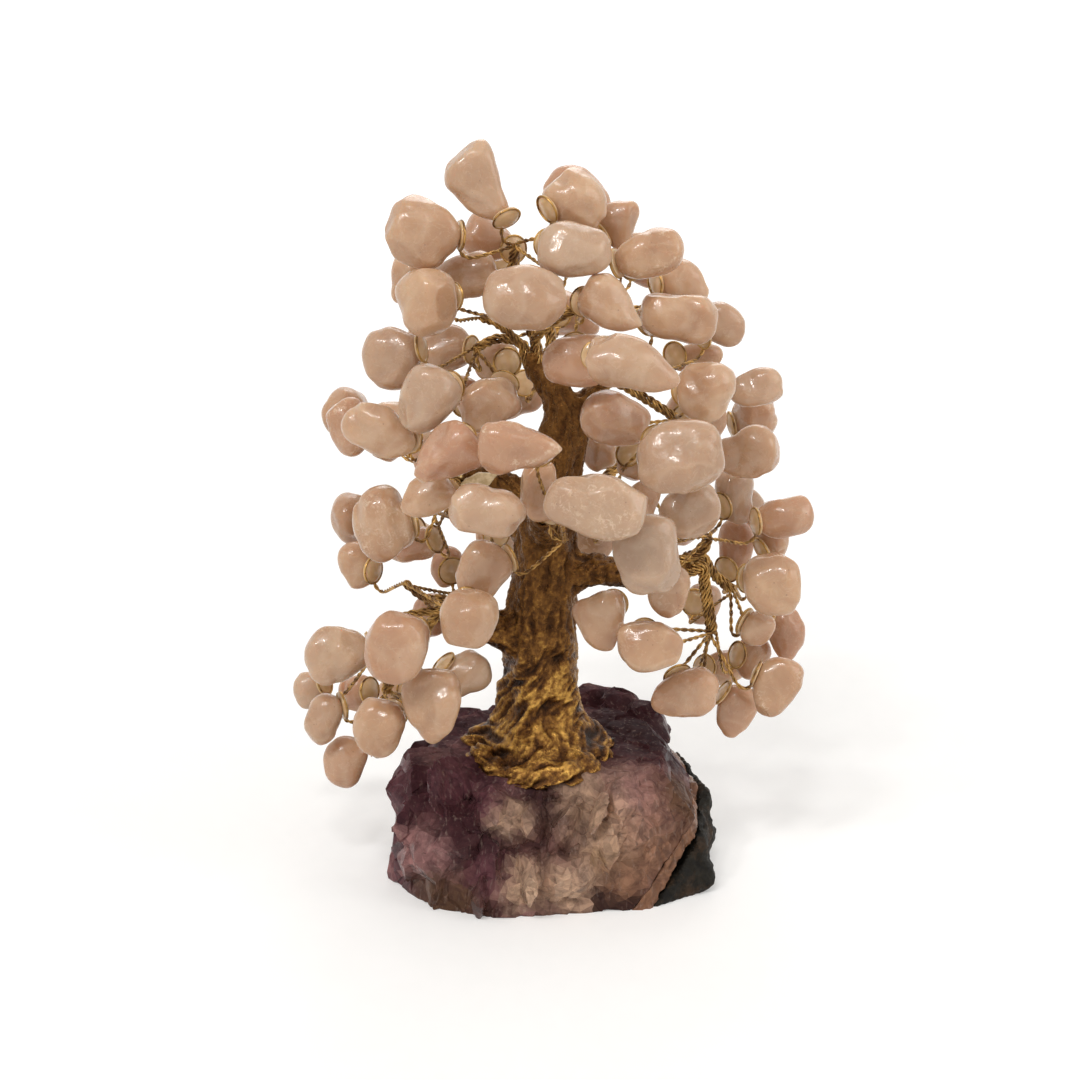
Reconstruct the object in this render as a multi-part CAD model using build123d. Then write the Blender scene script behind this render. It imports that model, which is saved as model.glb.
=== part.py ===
from build123d import *
from math import cos, pi, radians, sin, sqrt, tan, tau
from typing import NamedTuple
import os

os.makedirs("parts", exist_ok=True)

# A gemstone tree on an amethyst cluster. A trunk of gold-painted putty is built over a core of
# twisted wires. Ropes of wire leave the tips of its limbs and open into twigs. Each twig ends in
# a loop that is filled with resin and glued to a tumbled pebble of rose quartz.
# The origin is the middle of the flat underside. +X is to the right, +Y is to the back, +Z is up.

# Driving dimensions in millimetres
ORNAMENT_HEIGHT = 180.0
CROWN_RADIUS = 60.0
STONE_LENGTH = 17.0
WIRE_DIAMETER = 0.5
LOOP_DIAMETER = 7.0
RESIN_THICKNESS = 1.4
SEAT_DEPTH = 0.45
SEAT_CLEARANCE = 0.05
STEM_REACH = 2.2
FLAKE_THICKNESS = 1.2
TRUNK_RADIUS = 8.5
BORE_CLEARANCE = 0.15
CLUSTER_WIDTH = 78.0
CLUSTER_DEPTH = 68.0
CLUSTER_HEIGHT = 30.0
SHOULDER_HEIGHT = 19.0
CRYSTAL_RADIUS = 7.0
RIND_REACH = -11.0
BAND_THICKNESS = 4.0

# Angles in degrees
SIDE_LEAN = 9
SHOULDER_LEAN = 38
RIND_AZIMUTH = 196
RIND_LEAN = 44

# Sizes worked out from the driving dimensions
WIRE_RADIUS = WIRE_DIAMETER / 2
TWIG_RADIUS = 1.07 * WIRE_DIAMETER
LOOP_RADIUS = LOOP_DIAMETER / 2 - WIRE_RADIUS
CORE_RADIUS = 2.1
LIMB_CORE_RADIUS = 1.5
ROPE_LEAD = 2.0
ROPE_GAP = 0.4
BINDING_SWELL = 1.2
ROD_SIDES = 8
ROUTE_EASE = 0.45
INNER_SEAT_SHARE = 1.0
FRONT_SEAT_SHARE = 0.8

# The photograph as a ruler: a pixel and a depth give a place in millimetres
PHOTO_MIDDLE_PX = 540
PHOTO_FOCAL_PX = 2575
STONE_LENGTH_PX = 73
CRYSTAL_RADIUS_PX = 30
VIEW_ELEVATION = 20
VIEW_DISTANCE = 10 / 3 * ORNAMENT_HEIGHT
AIM_SIDE_SHARE = -0.0128
AIM_HEIGHT_SHARE = 0.449
AIM = Vector(AIM_SIDE_SHARE * ORNAMENT_HEIGHT, 0, AIM_HEIGHT_SHARE * ORNAMENT_HEIGHT)
FORWARD = Vector(0, cos(radians(VIEW_ELEVATION)), -sin(radians(VIEW_ELEVATION)))
UPWARD = Vector(0, sin(radians(VIEW_ELEVATION)), cos(radians(VIEW_ELEVATION)))
RIGHT = Vector(1, 0, 0)
VIEWPOINT = AIM - FORWARD * VIEW_DISTANCE


def from_photo(across_px, down_px, depth_share):
    """The place of a pixel of the photograph, at a depth that is a share of the crown's radius."""
    ray = FORWARD + RIGHT * ((across_px - PHOTO_MIDDLE_PX) / PHOTO_FOCAL_PX)
    ray = ray - UPWARD * ((down_px - PHOTO_MIDDLE_PX) / PHOTO_FOCAL_PX)
    return VIEWPOINT + ray * ((depth_share * CROWN_RADIUS - VIEWPOINT.Y) / ray.Y)


def from_behind(azimuth, reach_share, height_share):
    """A place on the side that the photograph doesn't show, by its turn about the upright axis."""
    reach = reach_share * CROWN_RADIUS
    return Vector(reach * sin(radians(azimuth)), reach * cos(radians(azimuth)), height_share * ORNAMENT_HEIGHT)


# Tumbled pebbles of rose quartz
# Each shape is: how much fatter one end is, how far the middle is bent, how square the section is,
# and how strong the three-sided lobe is.
SHAPE_SHARES = {
    "egg": (0.14, 0.02, 2.2, 0.03),
    "drop": (0.34, 0.05, 2.1, 0.05),
    "bean": (0.08, 0.16, 2.2, 0.04),
    "block": (0.04, 0.03, 2.9, 0.04),
    "wedge": (0.42, 0.04, 2.4, 0.09),
    "boot": (0.38, 0.24, 2.3, 0.06),
}
END_SQUARE_SHARE = 0.88
SECTION_STEPS = (3, 18, 40, 65, 90, 115, 140, 162, 177)
SECTION_SIDES = 10


class Stone(NamedTuple):
    """A pebble as the photograph shows it: its middle, its depth, its length, breadth and turn."""

    shape: str
    across_px: float
    down_px: float
    depth_share: float
    length_px: float
    breadth_px: float
    turn: float
    flatness_share: float = 0.75
    roll: float = 0
    seat: str = "inner"


class HiddenStone(NamedTuple):
    """A pebble on the far side: its turn about the upright axis, its reach, height and size."""

    shape: str
    azimuth: float
    reach_share: float
    height_share: float
    length_share: float
    breadth_share: float
    turn: float


class Spray(NamedTuple):
    """A rope of wire from a limb to a hub, and the pebbles whose twigs spread from that hub."""

    limb: str
    route_px: list
    stones: list


SPRAYS = {
    "crown_top": Spray("apex", [(509, 292, 0.05), (515, 245, 0.0)], [
        Stone("boot", 485, 183, -0.02, 80, 56, 118, 0.7, 0, "front"),
        Stone("wedge", 494, 240, 0.3, 64, 44, 150, 0.8),
        Stone("egg", 576, 200, -0.05, 64, 56, 140, 0.75, 0, "front"),
        Stone("egg", 575, 250, -0.26, 70, 54, 175, 0.75),
        Stone("block", 421, 233, -0.12, 72, 64, 150, 0.7),
    ]),
    "middle_left": Spray("apex", [(498, 336, 0.08), (474, 350, 0.0)], [
        Stone("egg", 392, 360, -0.2, 62, 57, 70, 0.75, 0, "front"),
        Stone("egg", 444, 350, 0.12, 58, 48, 20, 0.75),
        Stone("egg", 426, 401, -0.45, 67, 61, 60, 0.75),
        Stone("block", 490, 405, -0.2, 60, 48, 25, 0.8),
        Stone("egg", 496, 362, 0.26, 50, 40, 10, 0.8),
    ]),
    "upper_left": Spray("apex", [(500, 324, -0.02), (480, 317, -0.06)], [
        Stone("drop", 408, 280, 0.14, 50, 40, 60, 0.8),
        Stone("egg", 428, 302, -0.3, 70, 60, 100, 0.8),
        Stone("egg", 464, 278, 0.02, 66, 46, 20, 0.8),
        Stone("bean", 528, 294, -0.42, 84, 62, 175, 0.8),
    ]),
    "upper_right": Spray("apex", [(545, 325, -0.05), (577, 308, -0.05)], [
        Stone("drop", 622, 226, 0.08, 52, 46, 100, 0.75),
        Stone("egg", 650, 256, -0.16, 66, 50, 10, 0.75),
        Stone("egg", 684, 282, 0.2, 60, 48, 150, 0.75),
        Stone("wedge", 614, 308, -0.3, 70, 46, 150, 0.75),
        Stone("egg", 576, 362, -0.33, 68, 54, 5, 0.75),
    ]),
    "right_top": Spray("upper_right", [(640, 378, 0.1), (668, 372, 0.08)], [
        Stone("block", 678, 316, -0.1, 74, 52, 170, 0.75),
        Stone("egg", 724, 325, 0.3, 50, 40, 150, 0.75),
        Stone("egg", 697, 357, 0.42, 58, 34, 10, 0.8),
        Stone("drop", 632, 366, -0.62, 94, 56, 157, 0.7),
        Stone("egg", 757, 388, 0.05, 56, 40, 15, 0.8),
    ]),
    "right_middle": Spray("upper_right", [(645, 398, 0.0), (676, 418, -0.02)], [
        Stone("egg", 706, 392, -0.3, 60, 56, 80, 0.75),
        Stone("egg", 616, 418, -0.28, 72, 56, 160, 0.75),
        Stone("block", 681, 459, -0.6, 84, 72, 20, 0.7),
        Stone("egg", 746, 453, -0.02, 66, 52, 15, 0.75),
        Stone("egg", 636, 462, 0.14, 44, 36, 40, 0.8),
    ]),
    "left_upper": Spray("left", [(440, 462, -0.12), (428, 447, -0.1)], [
        Stone("egg", 380, 430, -0.38, 74, 48, 150, 0.75),
        Stone("egg", 349, 426, 0.05, 62, 46, 95, 0.75),
        Stone("wedge", 445, 458, -0.6, 70, 52, 40, 0.7),
        Stone("egg", 428, 452, 0.22, 48, 38, 80, 0.8),
        Stone("egg", 462, 394, 0.3, 42, 34, 60, 0.8),
    ]),
    "left_lower": Spray("left", [(440, 496, -0.2), (434, 512, -0.2)], [
        Stone("bean", 426, 499, -0.46, 60, 40, 20, 0.7),
        Stone("block", 384, 524, -0.28, 72, 58, 110, 0.7),
        Stone("egg", 413, 545, 0.02, 50, 36, 10, 0.8),
        Stone("egg", 487, 512, -0.72, 74, 52, 165, 0.7),
    ]),
    "middle_front": Spray("front", [(554, 523, -0.37), (566, 540, -0.46)], [
        Stone("wedge", 522, 447, -0.68, 82, 52, 175, 0.7),
        Stone("block", 597, 505, -0.78, 96, 58, 170, 0.66),
        Stone("block", 540, 491, -0.42, 58, 44, 100, 0.6),
        Stone("egg", 480, 572, -0.42, 62, 56, 60, 0.75),
    ]),
    "low_left_upper": Spray("low_left", [(425, 600, -0.1), (404, 582, -0.1)], [
        Stone("egg", 446, 566, 0.24, 44, 36, 80, 0.8),
        Stone("egg", 358, 566, 0.2, 50, 40, 100, 0.8),
        Stone("egg", 431, 616, 0.25, 52, 40, 80, 0.8),
        Stone("egg", 467, 620, -0.62, 60, 56, 80, 0.75),
    ]),
    "low_left_lower": Spray("low_left", [(430, 626, 0.0), (398, 664, 0.0), (386, 690, -0.05)], [
        Stone("egg", 324, 719, -0.2, 52, 38, 80, 0.8),
        Stone("egg", 356, 694, 0.2, 46, 38, 90, 0.8),
        Stone("egg", 396, 690, 0.36, 40, 32, 20, 0.8),
        Stone("egg", 378, 729, -0.5, 60, 52, 80, 0.75),
        Stone("egg", 345, 762, -0.15, 54, 44, 75, 0.75),
        Stone("drop", 434, 708, -0.52, 76, 60, 95, 0.7),
    ]),
    "low_left_middle": Spray("low_left", [(424, 612, -0.12), (404, 616, -0.14)], [
        Stone("egg", 397, 650, -0.6, 74, 64, 75, 0.75),
        Stone("egg", 336, 657, -0.2, 68, 62, 50, 0.75),
        Stone("egg", 462, 676, -0.1, 58, 46, 20, 0.75, 0, "hub"),
        Stone("egg", 309, 692, 0.15, 44, 34, 80, 0.8),
    ]),
    "right_inner": Spray("right", [(704, 550, -0.12), (708, 536, -0.16)], [
        Stone("egg", 690, 512, -0.42, 62, 54, 20, 0.75),
        Stone("egg", 736, 497, 0.18, 58, 40, 95, 0.75),
        Stone("block", 648, 554, -0.62, 74, 64, 95, 0.7),
        Stone("egg", 642, 508, 0.02, 56, 38, 80, 0.8),
        Stone("egg", 668, 592, -0.42, 54, 42, 80, 0.75),
        Stone("egg", 786, 516, 0.02, 62, 46, 15, 0.75),
    ]),
    "right_lower": Spray("right", [(704, 582, -0.1), (708, 606, -0.12), (712, 632, -0.14)], [
        Stone("wedge", 604, 622, -0.4, 60, 54, 100, 0.7),
        Stone("block", 650, 646, -0.52, 68, 50, 175, 0.7),
        Stone("egg", 686, 696, -0.34, 70, 52, 15, 0.75),
        Stone("egg", 735, 712, -0.1, 56, 40, 75, 0.75),
        Stone("egg", 776, 687, -0.22, 62, 48, 65, 0.75),
        Stone("egg", 722, 668, 0.25, 48, 38, 20, 0.8),
        Stone("egg", 752, 658, 0.12, 46, 36, 70, 0.8),
    ]),
    "right_outer": Spray("right", [(712, 574, 0.02), (733, 590, 0.02)], [
        Stone("block", 774, 584, -0.28, 64, 56, 100, 0.75),
        Stone("egg", 737, 549, 0.3, 66, 40, 90, 0.75),
        Stone("egg", 786, 634, 0.1, 58, 40, 95, 0.75),
        Stone("egg", 702, 604, 0.38, 46, 38, 80, 0.8),
        Stone("egg", 757, 632, -0.16, 42, 34, 60, 0.8),
        HiddenStone("egg", 78, 0.9, 0.44, 0.85, 0.65, 60),
    ]),
    "back_top": Spray("back_top", [(553, 356, 0.36), (549, 326, 0.42)], [
        HiddenStone("egg", 14, 0.45, 0.87, 1.0, 0.75, 30),
        HiddenStone("egg", 350, 0.85, 0.56, 0.9, 0.7, 150),
        HiddenStone("drop", 340, 0.78, 0.77, 0.95, 0.75, 120),
        HiddenStone("egg", 28, 0.8, 0.76, 0.9, 0.7, 60),
        HiddenStone("bean", 4, 0.95, 0.66, 1.1, 0.7, 10),
        HiddenStone("egg", 318, 0.72, 0.66, 0.9, 0.7, 80),
    ]),
    "back_left": Spray("back_left", [(484, 492, 0.42), (468, 474, 0.5)], [
        HiddenStone("egg", 296, 0.9, 0.58, 0.95, 0.75, 20),
        HiddenStone("egg", 318, 1.0, 0.52, 1.0, 0.7, 100),
        HiddenStone("wedge", 338, 0.98, 0.46, 1.05, 0.7, 150),
        HiddenStone("egg", 300, 0.92, 0.42, 0.9, 0.7, 60),
        HiddenStone("egg", 322, 0.95, 0.36, 0.95, 0.75, 30),
        HiddenStone("drop", 344, 0.8, 0.34, 0.9, 0.7, 90),
    ]),
    "back_right": Spray("back_right", [(616, 466, 0.42), (632, 448, 0.5)], [
        Stone("egg", 600, 452, 0.3, 46, 38, 100, 0.8, 0, "hub"),
        HiddenStone("egg", 62, 0.92, 0.57, 0.95, 0.75, 120),
        HiddenStone("block", 38, 1.0, 0.54, 1.0, 0.75, 30),
        HiddenStone("egg", 16, 0.98, 0.5, 0.95, 0.7, 70),
        HiddenStone("egg", 58, 0.95, 0.42, 0.9, 0.7, 40),
        HiddenStone("bean", 34, 0.95, 0.38, 1.05, 0.7, 140),
        HiddenStone("egg", 12, 0.85, 0.35, 0.9, 0.75, 100),
    ]),
}


def screen_frame(stone):
    """The plane of a pebble: X along its length, Z towards the viewer, with its roll about X."""
    along = RIGHT * cos(radians(stone.turn)) + UPWARD * sin(radians(stone.turn))
    across = UPWARD * cos(radians(stone.turn)) - RIGHT * sin(radians(stone.turn))
    out = FORWARD * -cos(radians(stone.roll)) + across * sin(radians(stone.roll))
    return Plane(from_photo(stone.across_px, stone.down_px, stone.depth_share), x_dir=along, z_dir=out)


def hidden_frame(stone):
    """The plane of a pebble on the far side: Z points out of the crown."""
    turn = radians(stone.azimuth)
    out = Vector(sin(turn), cos(turn), 0)
    level = Vector(-cos(turn), sin(turn), 0)
    along = level * cos(radians(stone.turn)) + Vector(0, 0, 1) * sin(radians(stone.turn))
    place = from_behind(stone.azimuth, stone.reach_share, stone.height_share)
    return Plane(place, x_dir=along, z_dir=out)


def stone_size(stone):
    """The length, breadth and thickness of a pebble in millimetres."""
    if isinstance(stone, HiddenStone):
        length = stone.length_share * STONE_LENGTH
        breadth = stone.breadth_share * STONE_LENGTH
        return length, breadth, 3 / 4 * breadth
    length = stone.length_px * STONE_LENGTH / STONE_LENGTH_PX
    breadth = stone.breadth_px * STONE_LENGTH / STONE_LENGTH_PX
    return length, breadth, stone.flatness_share * breadth


def stone_frame(stone):
    """The plane in which a pebble is made."""
    if isinstance(stone, HiddenStone):
        return hidden_frame(stone)
    return screen_frame(stone)


def pebble(shape, length, breadth, thickness, phase):
    """A tumbled pebble along X, lofted through rounded sections between two small worn ends."""
    bulge, bend, square, lobe = SHAPE_SHARES[shape]
    sections = []
    for step in SECTION_STEPS:
        ride = radians(step)
        along = -cos(ride) * abs(cos(ride)) ** (END_SQUARE_SHARE - 1)
        swell = sin(ride) ** (2 / square * END_SQUARE_SHARE) * (1 + bulge * along - bulge / 4)
        middle = bend * breadth * (sin(ride) - 1 / 2)
        points = []
        for side in range(SECTION_SIDES):
            turn = tau * side / SECTION_SIDES
            reach = (abs(cos(turn)) ** square + abs(sin(turn)) ** square) ** (-1 / square)
            reach = reach * swell * (1 + lobe * cos(3 * turn + phase))
            y = middle + breadth / 2 * reach * cos(turn)
            points.append((length / 2 * along, y, thickness / 2 * reach * sin(turn)))
        sections.append(Wire(Spline(*points, periodic=True)))
    return Solid.make_loft(sections)


def seat_direction(stone, middle, hub):
    """The way that a pebble's flat faces: to its hub, and in to the trunk or out to the viewer."""
    to_hub = (hub - middle).normalized()
    if isinstance(stone, Stone) and stone.seat == "hub":
        return to_hub
    if isinstance(stone, Stone) and stone.seat == "front":
        return (to_hub - FORWARD * FRONT_SEAT_SHARE).normalized()
    trunk = Vector(0, 0, middle.Z)
    return (to_hub + (trunk - middle).normalized() * INNER_SEAT_SHARE).normalized()


def seated_pebble(stone, hub, phase):
    """A pebble with a flat ground on the side of its hub, and the plane of that flat."""
    frame = stone_frame(stone)
    body = pebble(stone.shape, *stone_size(stone), phase)
    towards = frame.to_local_coords(frame.origin + seat_direction(stone, frame.origin, hub))
    reach = Plane((0, 0, 0), z_dir=towards).to_local_coords(body).bounding_box().max.Z
    cut = Plane(towards * (reach - SEAT_DEPTH), z_dir=towards)
    body = body.split(cut, keep=Keep.BOTTOM)
    flat = body.faces().filter_by(GeomType.PLANE).sort_by(Axis((0, 0, 0), towards))[-1]
    middle = frame.from_local_coords(flat.center())
    out = frame.from_local_coords(flat.center() + towards) - middle
    return frame.from_local_coords(body), Plane(middle, z_dir=out)


PAD_CROWN_SHARE = 0.4
PAD_SHOULDER_SHARE = 0.78
PAD_RISE_SHARE = 0.86


def resin_pad():
    """A domed pad of resin that fills a wire loop, with its flat side down."""
    radius = LOOP_RADIUS - WIRE_RADIUS - SEAT_CLEARANCE
    rim = RESIN_THICKNESS / 2
    crown = PAD_CROWN_SHARE * radius
    side = Polyline((crown, RESIN_THICKNESS), (0, RESIN_THICKNESS), (0, 0), (radius, 0), (radius, rim))
    shoulder = (PAD_SHOULDER_SHARE * radius, PAD_RISE_SHARE * RESIN_THICKNESS)
    dome = ThreePointArc((radius, rim), shoulder, (crown, RESIN_THICKNESS))
    return revolve(Plane.XZ * make_face([side, dome]), Axis.Z).solid()


def bend_radii(points, ease):
    """A radius for each corner of a route: a part of what its two runs allow."""
    radii = []
    for before, corner, after in zip(points, points[1:], points[2:]):
        turn = radians((corner - before).get_angle(after - corner))
        shorter = min((corner - before).length, (after - corner).length)
        radii.append(ease * shorter / tan(turn / 2))
    return radii


def rod(points, radius):
    """An eight-sided rod along straight runs that are joined by arcs."""
    points = [Vector(*point) for point in points]
    if len(points) == 2:
        path = Wire(Line(points[0], points[1]))
    else:
        path = Wire(FilletPolyline(*points, radius=bend_radii(points, ROUTE_EASE)).edges())
    start = Plane(points[0], z_dir=points[1] - points[0])
    return sweep(start * RegularPolygon(radius, ROD_SIDES), path=path).solid()


# The trunk and its limbs
# Each row is a section: its middle, its depth and its radius in the photograph.
TRUNK_RADIUS_PX = 36.5
TRUNK_LOBES = 5
LIMB_LOBES = 3
TRUNK_PX = [
    (541, 812, -0.12, 70), (541, 778, -0.12, 71), (541, 750, -0.06, 62), (541, 712, 0.0, 49), (541, 675, 0.0, 41),
    (541, 640, 0.0, 39), (543, 600, 0.0, 36), (546, 560, 0.0, 33), (547, 520, 0.0, 31), (552, 480, 0.0, 28),
    (561, 445, 0.0, 26), (564, 418, 0.0, 23), (557, 396, 0.0, 18), (544, 380, 0.0, 14), (535, 365, 0.01, 12),
    (531, 351, 0.02, 13.5),
]
LIMBS_PX = {
    "upper_right": [(560, 446, 0.0, 22), (575, 418, 0.01, 19), (590, 398, 0.02, 15), (606, 384, 0.03, 12.5)],
    "left": [(548, 503, 0.0, 25), (522, 496, -0.05, 20), (497, 488, -0.1, 16), (474, 480, -0.14, 13.5),
             (458, 476, -0.16, 11.5)],
    "front": [(548, 532, 0.0, 22), (543, 528, -0.12, 18), (540, 522, -0.22, 13), (543, 517, -0.3, 10.5)],
    "low_left": [(541, 640, 0.0, 33), (518, 636, -0.02, 28), (492, 628, -0.05, 20), (466, 614, -0.08, 13.5),
                 (450, 606, -0.09, 11)],
    "right": [(548, 580, 0.0, 27), (580, 573, -0.02, 20), (612, 572, -0.04, 17), (645, 577, -0.06, 15),
              (675, 569, -0.08, 12.5), (694, 561, -0.09, 11)],
    "back_top": [(560, 446, 0.0, 20), (563, 428, 0.1, 17), (561, 406, 0.2, 13), (556, 386, 0.28, 11)],
    "back_left": [(547, 560, 0.0, 25), (536, 545, 0.13, 19), (518, 526, 0.24, 15), (499, 508, 0.33, 11)],
    "back_right": [(547, 540, 0.0, 24), (562, 521, 0.13, 19), (583, 502, 0.24, 15), (601, 484, 0.33, 11)],
}
ROOTS_PX = [
    [(541, 735, 0.0, 38), (578, 742, -0.02, 32), (602, 752, -0.05, 20), (620, 774, -0.08, 11)],
    [(541, 735, 0.0, 38), (508, 740, 0.0, 32), (482, 750, 0.02, 20), (462, 770, 0.02, 11)],
    [(541, 735, 0.0, 38), (545, 728, 0.18, 30), (548, 730, 0.32, 19), (550, 744, 0.42, 10)],
]
BARK_LOBE_SHARE = 0.07
TRUNK_CORE_ROWS = (3, 6, 9, 12, 14, 15)
LANE_TURN_SHARES = {"apex": 0.4, "upper_right": 1.5, "left": 1.3, "low_left": 1.3, "right": 0.2}


def trunk_size(radius_px):
    """A radius in the photograph as millimetres of the trunk."""
    return radius_px * TRUNK_RADIUS / TRUNK_RADIUS_PX


def spine(rows_px):
    """The places of the middles of the sections of a limb."""
    return [from_photo(across, down, depth) for across, down, depth, radius in rows_px]


def limb_body(rows_px, lobes):
    """A lobed limb, lofted through sections that stand square to its spine."""
    middles = spine(rows_px)
    sections = []
    for number, row in enumerate(rows_px):
        before = middles[max(number - 1, 0)]
        after = middles[min(number + 1, len(middles) - 1)]
        section_plane = Plane(middles[number], x_dir=(0, -1, 0), z_dir=after - before)
        if abs((after - before).normalized().Y) > 3 / 4:
            section_plane = Plane(middles[number], x_dir=(-1, 0, 0), z_dir=after - before)
        points = []
        for side in range(4 * lobes):
            turn = tau * side / (4 * lobes)
            swell = 1 + BARK_LOBE_SHARE * cos(lobes * turn + number / 2)
            reach = trunk_size(row[3]) * swell
            points.append(section_plane.from_local_coords(Vector(reach * cos(turn), reach * sin(turn), 0)))
        sections.append(Wire(Spline(*points, periodic=True)))
    return Solid.make_loft(sections)


def limb_tip(limb):
    """The plane of the tip of a limb, facing out along it."""
    rows_px = TRUNK_PX if limb == "apex" else LIMBS_PX[limb]
    middles = spine(rows_px)
    return Plane(middles[-1], z_dir=middles[-1] - middles[-2])


def core_rods(clearance):
    """The twisted wires inside the trunk and its limbs, grown by a clearance on every side."""
    middles = spine(TRUNK_PX)
    rods = [rod([middles[row] for row in TRUNK_CORE_ROWS], CORE_RADIUS + clearance)]
    for rows_px in LIMBS_PX.values():
        rods.append(rod(spine(rows_px), LIMB_CORE_RADIUS + clearance))
    return rods[0].fuse(*rods[1:]).solid()


# The amethyst cluster
# Its outline on the table goes round from the right, in shares of half its width and depth.
OUTLINE_SHARES = [
    (1.0, -0.12), (0.88, 0.5), (0.46, 0.94), (-0.12, 1.0), (-0.68, 0.74), (-0.96, 0.22), (-1.0, -0.4),
    (-0.72, -0.84), (-0.3, -1.0), (0.18, -0.93), (0.58, -0.88), (0.93, -0.62),
]
CRYSTAL_POINT_SHARE = 0.55
CRYSTAL_LENGTH_SHARE = 3
CRYSTAL_TWIST = 37
CRYSTAL_SWAY = 9
# The crystals of the front and the left side, each by the place of its tip in the photograph, its
# depth, the turn and the lean of its axis, its radius and its length.
CRYSTALS_PX = [
    (384, 790, -0.22, 188, 4, 44, 150), (402, 768, 0.1, 170, 26, 34, 110), (408, 830, -0.42, 214, 0, 40, 130),
    (430, 790, -0.5, 226, 20, 36, 120), (396, 856, -0.36, 196, -4, 30, 110), (414, 862, -0.5, 224, -2, 30, 110),
    (455, 850, -0.56, 240, 2, 34, 120), (440, 898, -0.5, 234, 6, 30, 110), (472, 902, -0.56, 252, 4, 32, 110),
    (480, 808, -0.54, 246, 26, 26, 90), (510, 828, -0.56, 262, 14, 26, 90), (536, 824, -0.56, 276, 16, 22, 80),
    (498, 868, -0.58, 256, 2, 28, 100), (524, 890, -0.62, 262, -6, 30, 100), (556, 886, -0.6, 272, -4, 27, 100),
    (584, 884, -0.58, 284, 0, 26, 100), (566, 836, -0.55, 270, 12, 30, 100), (600, 812, -0.5, 286, 30, 26, 90),
    (604, 850, -0.53, 284, 8, 28, 100), (636, 846, -0.5, 300, 6, 32, 110), (640, 800, -0.42, 305, 28, 30, 100),
    (424, 752, 0.02, 160, 60, 26, 70), (450, 742, 0.22, 140, 66, 28, 70), (620, 742, 0.2, 60, 62, 28, 70),
    (655, 742, 0.05, 30, 48, 30, 80), (596, 688, 0.5, 80, 62, 34, 100), (478, 708, 0.46, 110, 60, 34, 90),
    (632, 692, 0.44, 60, 58, 34, 100), (660, 704, 0.34, 40, 50, 32, 100), (548, 700, 0.52, 90, 66, 32, 90),
]
# The crystals of the far side, in rows: their height, their reach, the lean of their axes, the
# first and last turn about the upright axis, and how many a row has.
HIDDEN_ROWS = [
    (0.3, 1.0, 4, 98, 160, 5),
    (0.62, 0.98, 20, 80, 150, 5),
    (0.9, 0.74, 44, 62, 140, 5),
]


def flat_cut(body, azimuth, lean, reach, keep):
    """The part of a body on one side of a flat that faces a turn and a lean."""
    out = Vector(cos(radians(lean)) * cos(radians(azimuth)), cos(radians(lean)) * sin(radians(azimuth)),
                 sin(radians(lean)))
    return body.split(Plane(out * reach, z_dir=out), keep=keep)


def crystal(root, axis, radius, length, turn):
    """A six-sided crystal with a pointed end."""
    ring = Plane(root, z_dir=axis).rotated((0, 0, turn)) * RegularPolygon(radius, 6)
    rise = length - CRYSTAL_POINT_SHARE * radius
    shaft = extrude(ring, amount=rise, dir=axis).solid()
    shoulder = ring.moved(Location(axis * rise)).face().outer_wire()
    tip = root + axis * length
    return shaft.fuse(Solid.make_loft([shoulder, Vertex(tip.X, tip.Y, tip.Z)], ruled=True))


def cluster_mass():
    """The whole rock, with an uneven plan, leaning sides and sloping shoulders."""
    plan = [(across * CLUSTER_WIDTH / 2, deep * CLUSTER_DEPTH / 2) for across, deep in OUTLINE_SHARES]
    lower = extrude(make_face(Polyline(*plan, close=True)), amount=SHOULDER_HEIGHT, taper=SIDE_LEAN)
    shoulder = lower.faces().sort_by(Axis.Z)[-1]
    upper = extrude(shoulder, amount=CLUSTER_HEIGHT - SHOULDER_HEIGHT, taper=SHOULDER_LEAN)
    return lower.solid().fuse(upper.solid())


def crystal_axis(azimuth, lean):
    """The direction of a crystal that points out at a turn and up at a lean, in degrees."""
    turn = radians(azimuth)
    rise = radians(lean)
    return Vector(cos(rise) * cos(turn), cos(rise) * sin(turn), sin(rise))


def crystals():
    """The crystals that stand out of the cluster on all sides but the rind's."""
    grown = []
    for number, (across, down, depth, azimuth, lean, radius_px, length_px) in enumerate(CRYSTALS_PX):
        axis = crystal_axis(azimuth, lean)
        length = length_px * CRYSTAL_RADIUS / CRYSTAL_RADIUS_PX
        root = from_photo(across, down, depth) - axis * length
        radius = radius_px * CRYSTAL_RADIUS / CRYSTAL_RADIUS_PX
        grown.append(crystal(root, axis, radius, length, CRYSTAL_TWIST * number))
    for height_share, reach_share, lean, first, last, count in HIDDEN_ROWS:
        for number in range(count):
            sway = sin(5 * number + 7 * height_share)
            azimuth = first + (last - first) * number / (count - 1)
            axis = crystal_axis(azimuth, lean + CRYSTAL_SWAY * sway)
            level = Vector(
                reach_share * CLUSTER_WIDTH / 2 * cos(radians(azimuth)),
                reach_share * CLUSTER_DEPTH / 2 * sin(radians(azimuth)),
                height_share * CLUSTER_HEIGHT,
            )
            radius = CRYSTAL_RADIUS * (1 + sway / 4)
            length = CRYSTAL_LENGTH_SHARE * radius
            grown.append(crystal(level - axis * length, axis, radius, length, CRYSTAL_TWIST * number))
    return grown


def cluster():
    """The rind, the pale quartz band and the amethyst, that meet on flats."""
    mass = cluster_mass()
    upper = flat_cut(mass, RIND_AZIMUTH, RIND_LEAN, RIND_REACH, Keep.TOP)
    inner = flat_cut(mass, RIND_AZIMUTH, RIND_LEAN, RIND_REACH + BAND_THICKNESS, Keep.TOP)
    rind = mass.cut(upper)
    band = upper.cut(inner)
    amethyst = inner.fuse(*crystals()).split(Plane.XY, keep=Keep.TOP)
    return rind, band, largest(amethyst.cut(mass.cut(inner)))


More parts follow.
